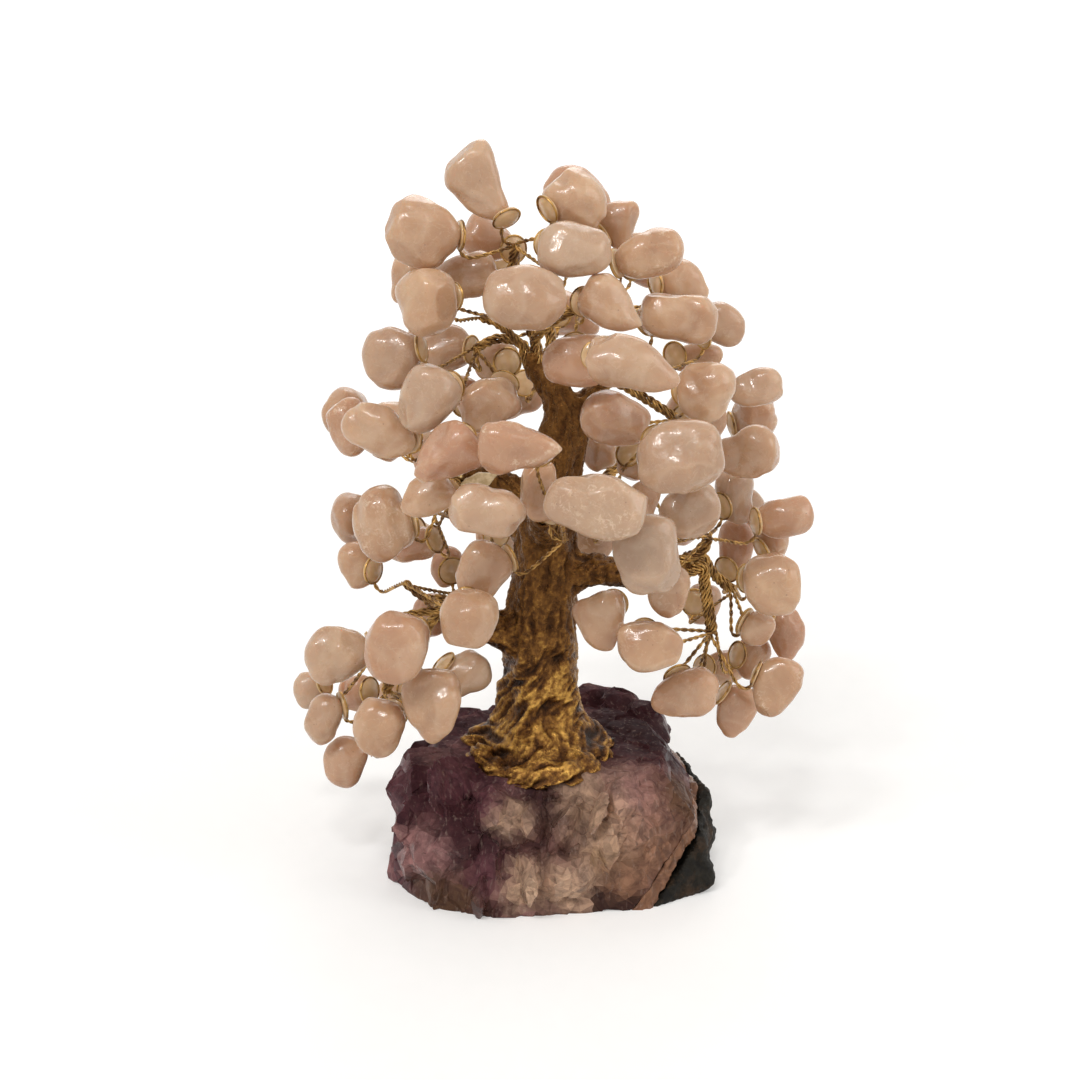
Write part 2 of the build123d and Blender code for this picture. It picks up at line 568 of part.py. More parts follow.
# A pale flake of stone in front of the left limb: its outline in the photograph, and its depth
FLAKE_PX = [(459, 486), (466, 479), (480, 473), (499, 474), (490, 486), (477, 491), (465, 490)]
FLAKE_DEPTH_SHARE = -0.232


def flake():
    """A thin flake with its broad side to the viewer."""
    outline = [from_photo(across, down, FLAKE_DEPTH_SHARE) for across, down in FLAKE_PX]
    return extrude(make_face(Polyline(*outline, close=True)), amount=FLAKE_THICKNESS, dir=(0, 1, 0)).solid()


def largest(shape):
    """The largest solid of a shape."""
    return shape.solids().sort_by(SortBy.VOLUME)[-1]


# The sprays
def rope_radius(spray):
    """The radius of the rope that holds all the twigs of a spray."""
    return TWIG_RADIUS * sqrt(len(spray.stones))


def rope_start(name):
    """The plane in which the rope of a spray leaves its limb, beside the limb's other ropes."""
    limb = SPRAYS[name].limb
    shared = [other for other in SPRAYS if SPRAYS[other].limb == limb]
    tip = limb_tip(limb)
    if len(shared) == 1:
        return tip
    widest = max(rope_radius(SPRAYS[other]) for other in shared)
    aside = (widest + ROPE_GAP / 2) / sin(pi / len(shared))
    turn = tau * (shared.index(name) + LANE_TURN_SHARES[limb]) / len(shared)
    return Plane(tip.from_local_coords(Vector(aside * cos(turn), aside * sin(turn), 0)), z_dir=tip.z_dir)


def twig(seat, hub):
    """A twig from its hub to the wire loop that lies over the flat of a pebble."""
    ring = seat.offset(TWIG_RADIUS + SEAT_CLEARANCE)
    down = Vector(0, 0, -1) - seat.z_dir * Vector(0, 0, -1).dot(seat.z_dir)
    stem = down.normalized()
    reach = LOOP_RADIUS + STEM_REACH
    points = [
        hub,
        ring.origin + stem * reach + seat.z_dir * STEM_REACH,
        ring.origin + stem * (LOOP_RADIUS + STEM_REACH / 3),
        ring.origin + stem * LOOP_RADIUS,
    ]
    loop = ring * Torus(LOOP_RADIUS, WIRE_RADIUS)
    return rod(points, TWIG_RADIUS).fuse(loop)


def spray_route(name):
    """The places that a rope passes on its way from its limb to its hub."""
    start = rope_start(name)
    route = [from_photo(*place) for place in SPRAYS[name].route_px]
    return [start.origin, start.origin + start.z_dir * ROPE_LEAD, *route]


def seated_stones(name):
    """The pebbles of a spray and the planes of their flats, each flat facing the hub."""
    hub = spray_route(name)[-1]
    bodies = []
    seats = []
    for number, stone in enumerate(SPRAYS[name].stones):
        body, seat = seated_pebble(stone, hub, number)
        bodies.append(body)
        seats.append(seat)
    return bodies, seats


def spray_wires(name, seats):
    """A rope with a binding at its hub, and the twigs that leave the binding, as one bundle."""
    route = spray_route(name)
    radius = rope_radius(SPRAYS[name])
    binding = Plane(route[-1], z_dir=route[-1] - route[-2])
    knot = binding * Cylinder(BINDING_SWELL * radius, 2 * BINDING_SWELL * radius)
    twigs = [twig(seat, route[-1]) for seat in seats]
    return rod(route, radius).fuse(knot.solid(), *twigs).solid()


def save(name, *solids):
    """Write one node, as a single solid or as a group of separate solids."""
    shape = solids[0] if len(solids) == 1 else Compound(list(solids))
    export_step(shape, f"parts/{name}.step")


rind, quartz_band, amethyst = cluster()
putty = limb_body(TRUNK_PX, TRUNK_LOBES)
limbs = [limb_body(rows_px, LIMB_LOBES) for rows_px in [*LIMBS_PX.values(), *ROOTS_PX]]
for limb in limbs:
    putty = putty.fuse(limb)
putty = largest(putty.cut(core_rods(BORE_CLEARANCE)).cut(rind, quartz_band, amethyst))
save("basalt_rind", rind)
save("quartz_band", quartz_band)
save("amethyst_crystals", amethyst)
save("trunk_putty", putty)
save("trunk_core_wires", core_rods(0))
save("pale_flake", flake())
for spray in SPRAYS:
    pebbles, seats = seated_stones(spray)
    save(f"{spray}_wires", spray_wires(spray, seats))
    save(f"{spray}_stones", *pebbles)
    save(f"{spray}_resin", *[seat * resin_pad() for seat in seats])
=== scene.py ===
"""The looks of the gemstone tree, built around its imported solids.

The pebbles, the trunk and the cluster begin as merged copies of their solids and are worn, wrinkled
and broken as the real ones are. The wires are laid strand by strand, from the limbs through the
ropes to the loops that hold the pebbles.
"""

import logging
import math
from collections.abc import Callable, Iterable, Sequence
from dataclasses import dataclass, field
from enum import Enum

import bpy
import numpy as np
from mathutils import Matrix, Vector, noise
from mathutils.bvhtree import BVHTree


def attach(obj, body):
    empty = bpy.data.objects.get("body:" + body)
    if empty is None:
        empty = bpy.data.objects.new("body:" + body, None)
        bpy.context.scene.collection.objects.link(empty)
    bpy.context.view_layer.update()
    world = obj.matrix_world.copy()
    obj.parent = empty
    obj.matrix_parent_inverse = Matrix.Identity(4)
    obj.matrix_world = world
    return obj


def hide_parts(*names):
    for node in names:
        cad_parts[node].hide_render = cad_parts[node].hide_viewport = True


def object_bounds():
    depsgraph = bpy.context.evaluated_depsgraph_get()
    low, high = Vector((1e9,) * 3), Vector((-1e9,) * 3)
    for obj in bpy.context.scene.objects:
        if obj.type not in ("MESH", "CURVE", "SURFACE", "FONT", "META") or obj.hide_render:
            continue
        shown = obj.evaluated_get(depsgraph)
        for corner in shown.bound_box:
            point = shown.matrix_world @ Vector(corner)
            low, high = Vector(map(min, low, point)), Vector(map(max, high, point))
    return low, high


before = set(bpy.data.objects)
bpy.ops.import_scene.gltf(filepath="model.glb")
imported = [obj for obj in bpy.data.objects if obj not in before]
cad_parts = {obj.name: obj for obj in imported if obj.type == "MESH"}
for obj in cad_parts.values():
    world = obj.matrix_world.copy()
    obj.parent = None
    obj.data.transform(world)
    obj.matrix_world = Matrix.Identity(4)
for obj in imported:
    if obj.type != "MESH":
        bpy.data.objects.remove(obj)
CAD_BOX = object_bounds()

LOG = logging.getLogger("gemstone_tree")
MM = 0.001
BODY = "root"
# Without a seed, the clock would move noise vectors, and no two runs would be the same
NOISE_SEED = 7

Colour = tuple[float, float, float, float]
Socket = bpy.types.NodeSocket


def paint(red: int, green: int, blue: int) -> Colour:
    """Turn a colour of 0 to 255 into the linear light that shaders take."""
    linear = []
    for part in (red, green, blue):
        share = part / 255
        linear.append(share / 12.92 if share <= 0.04045 else ((share + 0.055) / 1.055) ** 2.4)
    return (*linear, 1.0)


@dataclass(frozen=True)
class Photograph:
    """The photograph as a ruler: where the camera stands and what a pixel is."""

    side_px: float = 1080.0
    focal_px: float = 2575.0
    elevation: float = 20.0
    distance: float = 0.6
    aim: tuple[float, float, float] = (-0.002304, 0.0, 0.08082)
    depth_unit: float = 0.060

    @property
    def forward(self) -> Vector:
        """The direction in which the camera looks."""
        rise = math.radians(self.elevation)
        return Vector((0, math.cos(rise), -math.sin(rise)))

    @property
    def upward(self) -> Vector:
        """The direction that is up in the picture."""
        rise = math.radians(self.elevation)
        return Vector((0, math.sin(rise), math.cos(rise)))

    @property
    def viewpoint(self) -> Vector:
        """Where the camera stands."""
        return Vector(self.aim) - self.forward * self.distance

    def ray(self, across_px: float, down_px: float) -> Vector:
        """Point from the camera through a pixel.

        Args:
            across_px: Pixels from the left edge.
            down_px: Pixels from the top edge.

        Returns:
            The direction, one unit long along the camera's own axis.
        """
        middle = self.side_px / 2
        aside = Vector((1, 0, 0)) * ((across_px - middle) / self.focal_px)
        return self.forward + aside - self.upward * ((down_px - middle) / self.focal_px)

    def place(self, across_px: float, down_px: float, depth: float) -> Vector:
        """Find the place of a pixel at a depth.

        Args:
            across_px: Pixels from the left edge.
            down_px: Pixels from the top edge.
            depth: Distance behind the tree's middle, as a share of the crown's radius.

        Returns:
            The place in metres.
        """
        ray = self.ray(across_px, down_px)
        eye = self.viewpoint
        return eye + ray * ((depth * self.depth_unit - eye.y) / ray.y)


PHOTO = Photograph()


# Handwork on meshes


def take_up(piece: bpy.types.Object) -> None:
    """Make a piece the only one selected, and the active one."""
    bpy.ops.object.select_all(action="DESELECT")
    piece.select_set(True)
    bpy.context.view_layer.objects.active = piece


def edit(piece: bpy.types.Object) -> None:
    """Open a piece in edit mode with all of it selected."""
    take_up(piece)
    bpy.ops.object.mode_set(mode="EDIT")
    bpy.ops.mesh.select_mode(type="VERT")
    bpy.ops.mesh.select_all(action="SELECT")


def leave_edit() -> None:
    """Go back to object mode."""
    bpy.ops.object.mode_set(mode="OBJECT")


def modelled(operator: Callable, **settings: object) -> bpy.types.Object:
    """Add a simple body by itself.

    Args:
        operator: The operator that adds it.
        settings: The operator's settings.

    Returns:
        The new body.
    """
    bpy.ops.object.select_all(action="DESELECT")
    operator(**settings)
    return bpy.context.view_layer.objects.active


def join(piece: bpy.types.Object, others: Iterable[bpy.types.Object]) -> None:
    """Join other pieces into a piece."""
    take_up(piece)
    for other in others:
        other.select_set(True)
    bpy.ops.object.join()


def apply_modifier(piece: bpy.types.Object, kind: str, **settings: object) -> None:
    """Put a modifier on a piece and apply it.

    Args:
        piece: The piece that is changed.
        kind: The modifier's type.
        settings: The modifier's settings.
    """
    take_up(piece)
    modifier = piece.modifiers.new(kind.lower(), kind)
    for name, value in settings.items():
        setattr(modifier, name, value)
    bpy.ops.object.modifier_apply(modifier=modifier.name)


def merged_copy(node_name: str, name: str) -> bpy.types.Object:
    """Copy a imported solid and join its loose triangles.

    Args:
        node_name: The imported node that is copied.
        name: The new piece's name.

    Returns:
        The copy, at the origin, with no material.
    """
    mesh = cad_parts[node_name].data.copy()
    mesh.materials.clear()
    piece = bpy.data.objects.new(name, mesh)
    bpy.context.scene.collection.objects.link(piece)
    edit(piece)
    bpy.ops.mesh.remove_doubles(threshold=0.001 * MM)
    bpy.ops.mesh.customdata_custom_splitnormals_clear()
    leave_edit()
    return piece


def corners(mesh: bpy.types.Mesh) -> np.ndarray:
    """Read the places of a mesh's corners, one row each."""
    flat = np.empty(3 * len(mesh.vertices))
    mesh.vertices.foreach_get("co", flat)
    return flat.reshape(-1, 3)


def set_corners(mesh: bpy.types.Mesh, places: np.ndarray) -> None:
    """Write the places of a mesh's corners."""
    mesh.vertices.foreach_set("co", places.ravel())
    mesh.update()


def directions(mesh: bpy.types.Mesh) -> np.ndarray:
    """Read the outward direction at each corner of a mesh."""
    flat = np.empty(3 * len(mesh.vertices))
    mesh.vertices.foreach_get("normal", flat)
    return flat.reshape(-1, 3)


def distances(places: np.ndarray, point: Vector) -> np.ndarray:
    """Measure how far each place is from a point."""
    return np.linalg.norm(places - np.array(point), axis=1)


def islands(mesh: bpy.types.Mesh) -> np.ndarray:
    """Number the separate solids of a mesh.

    Args:
        mesh: A merged mesh.

    Returns:
        For each corner, the number of the solid that it is on.
    """
    edges = np.empty(2 * len(mesh.edges), dtype=np.int64)
    mesh.edges.foreach_get("vertices", edges)
    first, second = edges.reshape(-1, 2).T
    label = np.arange(len(mesh.vertices))
    while True:
        before = label.copy()
        lowest = np.minimum(label[first], label[second])
        np.minimum.at(label, first, lowest)
        np.minimum.at(label, second, lowest)
        label = label[label]
        if (label == before).all():
            return np.unique(label, return_inverse=True)[1]


def mark(mesh: bpy.types.Mesh, name: str, values: np.ndarray, domain: str = "POINT") -> None:
    """Keep a number or a colour for each corner or face of a mesh.

    Args:
        mesh: The mesh that carries it.
        name: The attribute's name.
        values: One number each, or one row of four for a colour.
        domain: "POINT" for corners and "FACE" for faces.
    """
    if values.ndim == 1:
        attribute = mesh.attributes.new(name, "FLOAT", domain)
        attribute.data.foreach_set("value", values.astype(np.float32))
    else:
        attribute = mesh.attributes.new(name, "FLOAT_COLOR", domain)
        attribute.data.foreach_set("color", values.astype(np.float32).ravel())


def rough(places: np.ndarray, size: float, octaves: int = 1, offset: float = 0.0) -> np.ndarray:
    """Work out a soft random height at each place.

    Args:
        places: Rows of places in metres.
        size: The width of a hump in metres.
        octaves: How many finer layers are added.
        offset: A shift that gives a different pattern.

    Returns:
        Heights from about -1 to 1.
    """
    scaled = places / size + offset
    if octaves == 1:
        return np.array([noise.noise(place) for place in scaled.tolist()])
    return np.array([noise.fractal(place, 1.0, 2.0, octaves) for place in scaled.tolist()])


def finished(
    piece: bpy.types.Object, material: bpy.types.Material, slot: str, node: str
) -> bpy.types.Object:
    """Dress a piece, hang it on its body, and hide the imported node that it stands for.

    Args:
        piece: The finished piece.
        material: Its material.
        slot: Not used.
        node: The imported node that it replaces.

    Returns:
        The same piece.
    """
    piece.data.materials.clear()
    piece.data.materials.append(material)
    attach(piece, BODY)
    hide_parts(node)
    LOG.info("%s: %d faces", piece.name, len(piece.data.polygons))
    return piece


# Finishes


class NodeBench:
    """The nodes of one material, laid out by name."""

    MIX_FACTOR, MIX_FIRST, MIX_SECOND, MIX_RESULT = 0, 6, 7, 2

    def __init__(self, name: str) -> None:
        """Start a material with its shader and its place in object coordinates."""
        self.material = bpy.data.materials.new(name)
        self.material.use_nodes = True
        self.nodes = self.material.node_tree.nodes
        self.shader = self.nodes["Principled BSDF"]
        self.place = self.nodes.new("ShaderNodeTexCoord").outputs["Object"]

    def feed(self, socket: Socket, value: object) -> None:
        """Link a socket, or set it."""
        if isinstance(value, Socket):
            self.material.node_tree.links.new(value, socket)
        else:
            socket.default_value = value

    def add(self, kind: str, inputs: dict[str | int, object], **settings: object) -> bpy.types.Node:
        """Add a node with its settings and its inputs."""
        node = self.nodes.new(kind)
        for name, value in settings.items():
            setattr(node, name, value)
        for name, value in inputs.items():
            self.feed(node.inputs[name], value)
        return node

    def noise(self, size: float, detail: float = 2.0, roughness: float = 0.5, bend: float = 0.0) -> Socket:
        """Add a noise.

        Args:
            size: The width of a hump in metres.
            detail: How many finer layers it has.
            roughness: How strong the finer layers are.
            bend: How far the pattern is bent.

        Returns:
            A number around 0.5.
        """
        inputs = {"Vector": self.place, "Scale": 1 / size, "Detail": detail, "Roughness": roughness,
                  "Distortion": bend}
        return self.add("ShaderNodeTexNoise", inputs).outputs["Fac"]

    def fibres(self, size: float, detail: float, stretch: float, roughness: float = 0.65) -> Socket:
        """Add a noise whose humps are drawn out upwards by a factor."""
        shrink = (1, 1, 1 / stretch)
        drawn = self.add("ShaderNodeVectorMath", {0: self.place, 1: shrink}, operation="MULTIPLY")
        inputs = {"Vector": drawn.outputs["Vector"], "Scale": 1 / size, "Detail": detail,
                  "Roughness": roughness}
        return self.add("ShaderNodeTexNoise", inputs).outputs["Fac"]

    def cells(self, size: float) -> Socket:
        """Add cells of a size in metres, and return how far their middles are."""
        inputs = {"Vector": self.place, "Scale": 1 / size}
        return self.add("ShaderNodeTexVoronoi", inputs).outputs["Distance"]

    def ramp(self, factor: Socket, *stops: tuple[float, Colour]) -> Socket:
        """Turn a number into a colour through stops."""
        node = self.add("ShaderNodeValToRGB", {"Fac": factor})
        elements = node.color_ramp.elements
        while len(elements) < len(stops):
            elements.new(1.0)
        for element, (position, colour) in zip(elements, stops):
            element.position = position
            element.color = colour
        return node.outputs["Color"]

    def spread(
        self, value: Socket, low: float, high: float, to_low: float = 0.0, to_high: float = 1.0
    ) -> Socket:
        """Stretch the range from low to high to another range, and clamp it."""
        inputs = {"Value": value, "From Min": low, "From Max": high, "To Min": to_low, "To Max": to_high}
        return self.add("ShaderNodeMapRange", inputs).outputs["Result"]

    def gloss(self, size: float, detail: float, low: float, high: float) -> Socket:
        """Add a roughness that wanders from low to high in patches of a size in metres."""
        return self.spread(self.noise(size, detail), 0.3, 0.7, low, high)

    def maths(self, operation: str, first: object, second: object = 0.0) -> Socket:
        """Join two numbers by an operation."""
        return self.add("ShaderNodeMath", {0: first, 1: second}, operation=operation).outputs[0]

    def times(self, first: object, second: object) -> Socket:
        """Multiply two numbers."""
        return self.maths("MULTIPLY", first, second)

    def plus(self, first: object, second: object) -> Socket:
        """Add two numbers."""
        return self.maths("ADD", first, second)

    def mix(self, factor: object, first: object, second: object) -> Socket:
        """Mix two colours, from the first at 0 to the second at 1."""
        inputs = {self.MIX_FACTOR: factor, self.MIX_FIRST: first, self.MIX_SECOND: second}
        return self.add("ShaderNodeMix", inputs, data_type="RGBA").outputs[self.MIX_RESULT]

    def attribute(self, name: str, output: str = "Fac") -> Socket:
        """Read a number or a colour that the mesh carries."""
        return self.add("ShaderNodeAttribute", {}, attribute_name=name).outputs[output]

    def bump(self, height: Socket, strength: float, depth: float) -> None:
        """Give the shader a relief of a depth in metres."""
        inputs = {"Height": height, "Strength": strength, "Distance": depth}
        self.feed(self.shader.inputs["Normal"], self.add("ShaderNodeBump", inputs).outputs["Normal"])

    def shade(self, **values: object) -> bpy.types.Material:
        """Feed the shader's sockets, named with underscores, and return the material."""
        for name, value in values.items():
            self.feed(self.shader.inputs[name.replace("_", " ")], value)
        return self.material


@dataclass(frozen=True)
class RoseQuartzFinish:
    """Tumbled rose quartz: milky and waxy, faintly veined, with small sharp gleams."""

    light: Colour = paint(204, 170, 137)
    body: Colour = paint(191, 153, 120)
    deep: Colour = paint(178, 138, 106)
    rosy: Colour = paint(186, 136, 108)
    grey: Colour = paint(184, 160, 138)
    vein: Colour = paint(222, 198, 172)
    pit: Colour = paint(140, 104, 80)

    def material(self) -> bpy.types.Material:
        """Build the material from the tone and the blush that each pebble carries."""
        bench = NodeBench("rose_quartz")
        clouds = bench.noise(9 * MM, 3.0, 0.5, 0.5)
        milk = bench.ramp(clouds, (0.3, self.deep), (0.5, self.body), (0.7, self.light))
        blush = bench.attribute("blush")
        rosy = bench.mix(bench.spread(blush, 0.0, 1.0, 0.0, 0.7), milk, self.rosy)
        greyed = bench.mix(bench.spread(blush, 0.0, -1.0, 0.0, 0.7), rosy, self.grey)
        toned = bench.mix(bench.spread(bench.attribute("tone"), 0.0, 1.0, 0.0, 0.45), greyed, self.deep)
        bands = bench.noise(12 * MM, 1.5, 0.5, 0.6)
        edge = bench.spread(bands, 0.52, 0.57, 0.0, 0.22)
        fading = bench.spread(bands, 0.56, 0.7, 1.0, 0.1)
        banded = bench.mix(bench.times(edge, fading), toned, self.vein)
        flecks = bench.spread(bench.noise(1.3 * MM, 5.0, 0.7, 1.0), 0.52, 0.62, 0.0, 0.7)
        inner = bench.spread(bench.noise(6 * MM, 2.0), 0.48, 0.6)
        cracked = bench.times(bench.times(flecks, inner), bench.attribute("cracked"))
        flecked = bench.mix(cracked, banded, self.vein)
        threads = bench.maths("ABSOLUTE", bench.maths("SUBTRACT", bench.noise(6 * MM, 5.0, 0.6, 1.4), 0.5))
        veined = bench.mix(bench.spread(threads, 0.0, 0.012, 0.25, 0.0), flecked, self.vein)
        holes = bench.spread(bench.cells(1.6 * MM), 0.07, 0.13, 0.6, 0.0)
        pits = bench.times(holes, bench.spread(bench.noise(5 * MM), 0.55, 0.62))
        pitted = bench.mix(pits, veined, self.pit)
        fine = bench.times(bench.noise(0.6 * MM, 2.0), 0.25)
        bench.bump(bench.plus(bench.noise(2.4 * MM, 3.0, 0.55), fine), 0.4, 0.3 * MM)
        gloss = bench.gloss(4 * MM, 3.0, 0.16, 0.34)
        return bench.shade(
            Base_Color=pitted, Roughness=gloss, IOR=1.5, Specular_IOR_Level=0.4,
            Coat_Weight=0.3, Coat_Roughness=0.05,
            Subsurface_Weight=0.65, Subsurface_Radius=(1.0, 0.7, 0.5), Subsurface_Scale=6.5 * MM,
        )


@dataclass(frozen=True)
class GiltPuttyFinish:
    """Gold paint over putty: bright on the ridges, brown in the hollows and up the limbs."""

    bright: Colour = paint(214, 166, 84)
    middle: Colour = paint(132, 91, 43)
    brown: Colour = paint(84, 53, 26)
    dark: Colour = paint(46, 28, 15)

    def material(self) -> bpy.types.Material:
        """Build the paint from the hollows and the height that the trunk carries."""
        bench = NodeBench("gilt_putty")
        speckle = bench.spread(bench.noise(0.7 * MM, 4.0, 0.6), 0.3, 0.7, -0.12, 0.12)
        wear = bench.plus(bench.attribute("ridge"), speckle)
        low = bench.ramp(wear, (0.2, self.dark), (0.42, self.brown), (0.62, self.middle), (0.88, self.bright))
        high = bench.ramp(wear, (0.0, self.dark), (0.25, self.brown), (0.75, self.middle), (1.0, self.bright))
        colour = bench.mix(bench.attribute("height"), low, high)
        relief = bench.plus(bench.noise(0.8 * MM, 6.0, 0.7, 0.8), bench.fibres(0.6 * MM, 5.0, 4.0))
        bench.bump(relief, 0.9, 0.3 * MM)
        gloss = bench.gloss(1.0 * MM, 4.0, 0.22, 0.42)
        return bench.shade(Base_Color=colour, Metallic=0.85, Roughness=gloss)


@dataclass(frozen=True)
class BrassWireFinish:
    """Craft wire of tarnished brass."""

    bright: Colour = paint(200, 158, 92)
    tarnish: Colour = paint(116, 84, 52)

    def material(self) -> bpy.types.Material:
        """Build the metal with patches of tarnish."""
        bench = NodeBench("brass_wire")
        colour = bench.ramp(bench.noise(3 * MM, 3.0, 0.6), (0.38, self.tarnish), (0.62, self.bright))
        bench.bump(bench.noise(0.3 * MM, 2.0), 0.2, 0.05 * MM)
        gloss = bench.gloss(1.5 * MM, 2.0, 0.25, 0.45)
        return bench.shade(Base_Color=colour, Metallic=0.9, Roughness=gloss)


@dataclass(frozen=True)
class ResinFinish:
    """Clear resin with an amber tint and a few bubbles."""

    clear: Colour = paint(232, 198, 154)
    amber: Colour = paint(214, 176, 128)

    def material(self) -> bpy.types.Material:
        """Build the resin."""
        bench = NodeBench("amber_resin")
        colour = bench.ramp(bench.noise(2.5 * MM, 2.0), (0.35, self.amber), (0.65, self.clear))
        bench.bump(bench.noise(1.6 * MM, 1.0), 0.15, 0.2 * MM)
        gloss = bench.gloss(2 * MM, 2.0, 0.08, 0.22)
        return bench.shade(
            Base_Color=colour, Roughness=gloss, IOR=1.5, Transmission_Weight=0.1,
            Subsurface_Weight=0.4, Subsurface_Radius=(1.0, 0.6, 0.3), Subsurface_Scale=1.0 * MM,
        )


@dataclass(frozen=True)
class AmethystFinish:
    """Amethyst: plum in its depths, milky and lavender where it is bruised, dull on its top faces, and with
    painted glints in pale streaks.
    """

    dark_streak: Colour = paint(36, 17, 22)
    glint_frost: Colour = paint(206, 182, 166)
    gleam: Colour = paint(170, 140, 150)

    def material(self) -> bpy.types.Material:
        """Build the stone from the tint that its faces carry, and from how far they look up."""
        bench = NodeBench("amethyst")
        tint = bench.attribute("tint", "Color")
        shadows = bench.spread(bench.noise(4 * MM, 6.0, 0.68, 1.2), 0.42, 0.68, 0.0, 0.62)
        shadowed = bench.mix(shadows, tint, self.dark_streak)
        # Painted glints: thin pale streaks, drawn out upwards, are mixed into the colour as sparkle on the
        # crystal faces.
        glint_streaks = bench.spread(bench.fibres(0.9 * MM, 4.0, 4.0), 0.56, 0.76, 0.0, 0.26)
        glinted = bench.mix(glint_streaks, shadowed, self.glint_frost)
        chips = bench.times(bench.cells(1.8 * MM), 0.5)
        relief = bench.plus(bench.noise(1.0 * MM, 5.0, 0.65), chips)
        bench.bump(relief, 0.3, 0.25 * MM)
        dull = bench.spread(bench.attribute("upward"), 0.3, 0.85, 0.0, 0.6)
        gloss = bench.plus(bench.spread(bench.noise(2.5 * MM, 3.0), 0.35, 0.65, 0.08, 0.3), dull)
        return bench.shade(
            Base_Color=glinted, Roughness=gloss, IOR=1.54, Specular_IOR_Level=0.2, Specular_Tint=self.gleam,
            Subsurface_Weight=0.15, Subsurface_Radius=(0.8, 0.5, 0.6), Subsurface_Scale=1.2 * MM,
        )


@dataclass(frozen=True)
class FlakeFinish:
    """The pale flake of stone on the left limb."""

    pale: Colour = paint(230, 206, 164)
    shade: Colour = paint(192, 164, 118)

    def material(self) -> bpy.types.Material:
        """Build the stone."""
        bench = NodeBench("pale_flake_stone")
        colour = bench.ramp(bench.noise(1.8 * MM, 4.0, 0.6), (0.38, self.shade), (0.6, self.pale))
        bench.bump(bench.noise(0.6 * MM, 4.0), 0.5, 0.2 * MM)
        gloss = bench.gloss(1.0 * MM, 2.0, 0.25, 0.5)
        return bench.shade(Base_Color=colour, Roughness=gloss)


@dataclass(frozen=True)
class BasaltFinish:
    """Dark rock of the rind, with greenish and brown grains."""

    dark: Colour = paint(17, 14, 10)
    green: Colour = paint(36, 32, 24)
    brown: Colour = paint(72, 54, 38)

    def material(self) -> bpy.types.Material:
        """Build the rock."""
        bench = NodeBench("basalt")
        base = bench.ramp(bench.noise(2.6 * MM, 6.0, 0.7), (0.4, self.dark), (0.62, self.green))
        patches = bench.spread(bench.noise(6 * MM, 5.0, 0.65), 0.5, 0.66, 0.0, 0.85)
        grains = bench.mix(patches, base, self.brown)
        bench.bump(bench.noise(0.8 * MM, 6.0, 0.75), 0.9, 0.5 * MM)
        gloss = bench.gloss(1.2 * MM, 3.0, 0.45, 0.8)
        return bench.shade(Base_Color=grains, Roughness=gloss, Specular_IOR_Level=0.2)


# The pebbles


class Blush(Enum):
    """How far a pebble's colour leans to rose or to grey."""

    ROSY = 0.9
    PLAIN = 0.0
    GREY = -0.9


@dataclass(frozen=True)
class Seat:
    """The flat of a pebble on which a loop lies: its middle, and the way out of the stone."""

    middle: Vector
    out: Vector


def read_seats(spray: str, hub: Vector) -> list[Seat]:
    """Find the flats of a spray's pebbles from the solid pads that lie on them.

    Args:
        spray: The spray's name.
        hub: Where its twigs part.

    Returns:
        One seat for each pad.
    """
    flat_depth = 0.02 * MM
    pads = merged_copy(f"{spray}_resin", f"{spray}_pads_copy")
    label = islands(pads.data)
    places = corners(pads.data)
    seats = []
    for pad in range(label.max() + 1):
        own = places[label == pad]
        middle = own.mean(axis=0)
        _, ways = np.linalg.eigh(np.cov((own - middle).T))
        out = Vector(ways[:, 0])
        if out.dot(hub - Vector(middle)) < 0:
            out = -out
        reach = (own - middle) @ np.array(out)
        flat = own[reach < reach.min() + flat_depth]
        seats.append(Seat(Vector(flat.mean(axis=0)), out))
    bpy.data.objects.remove(pads)
    return seats


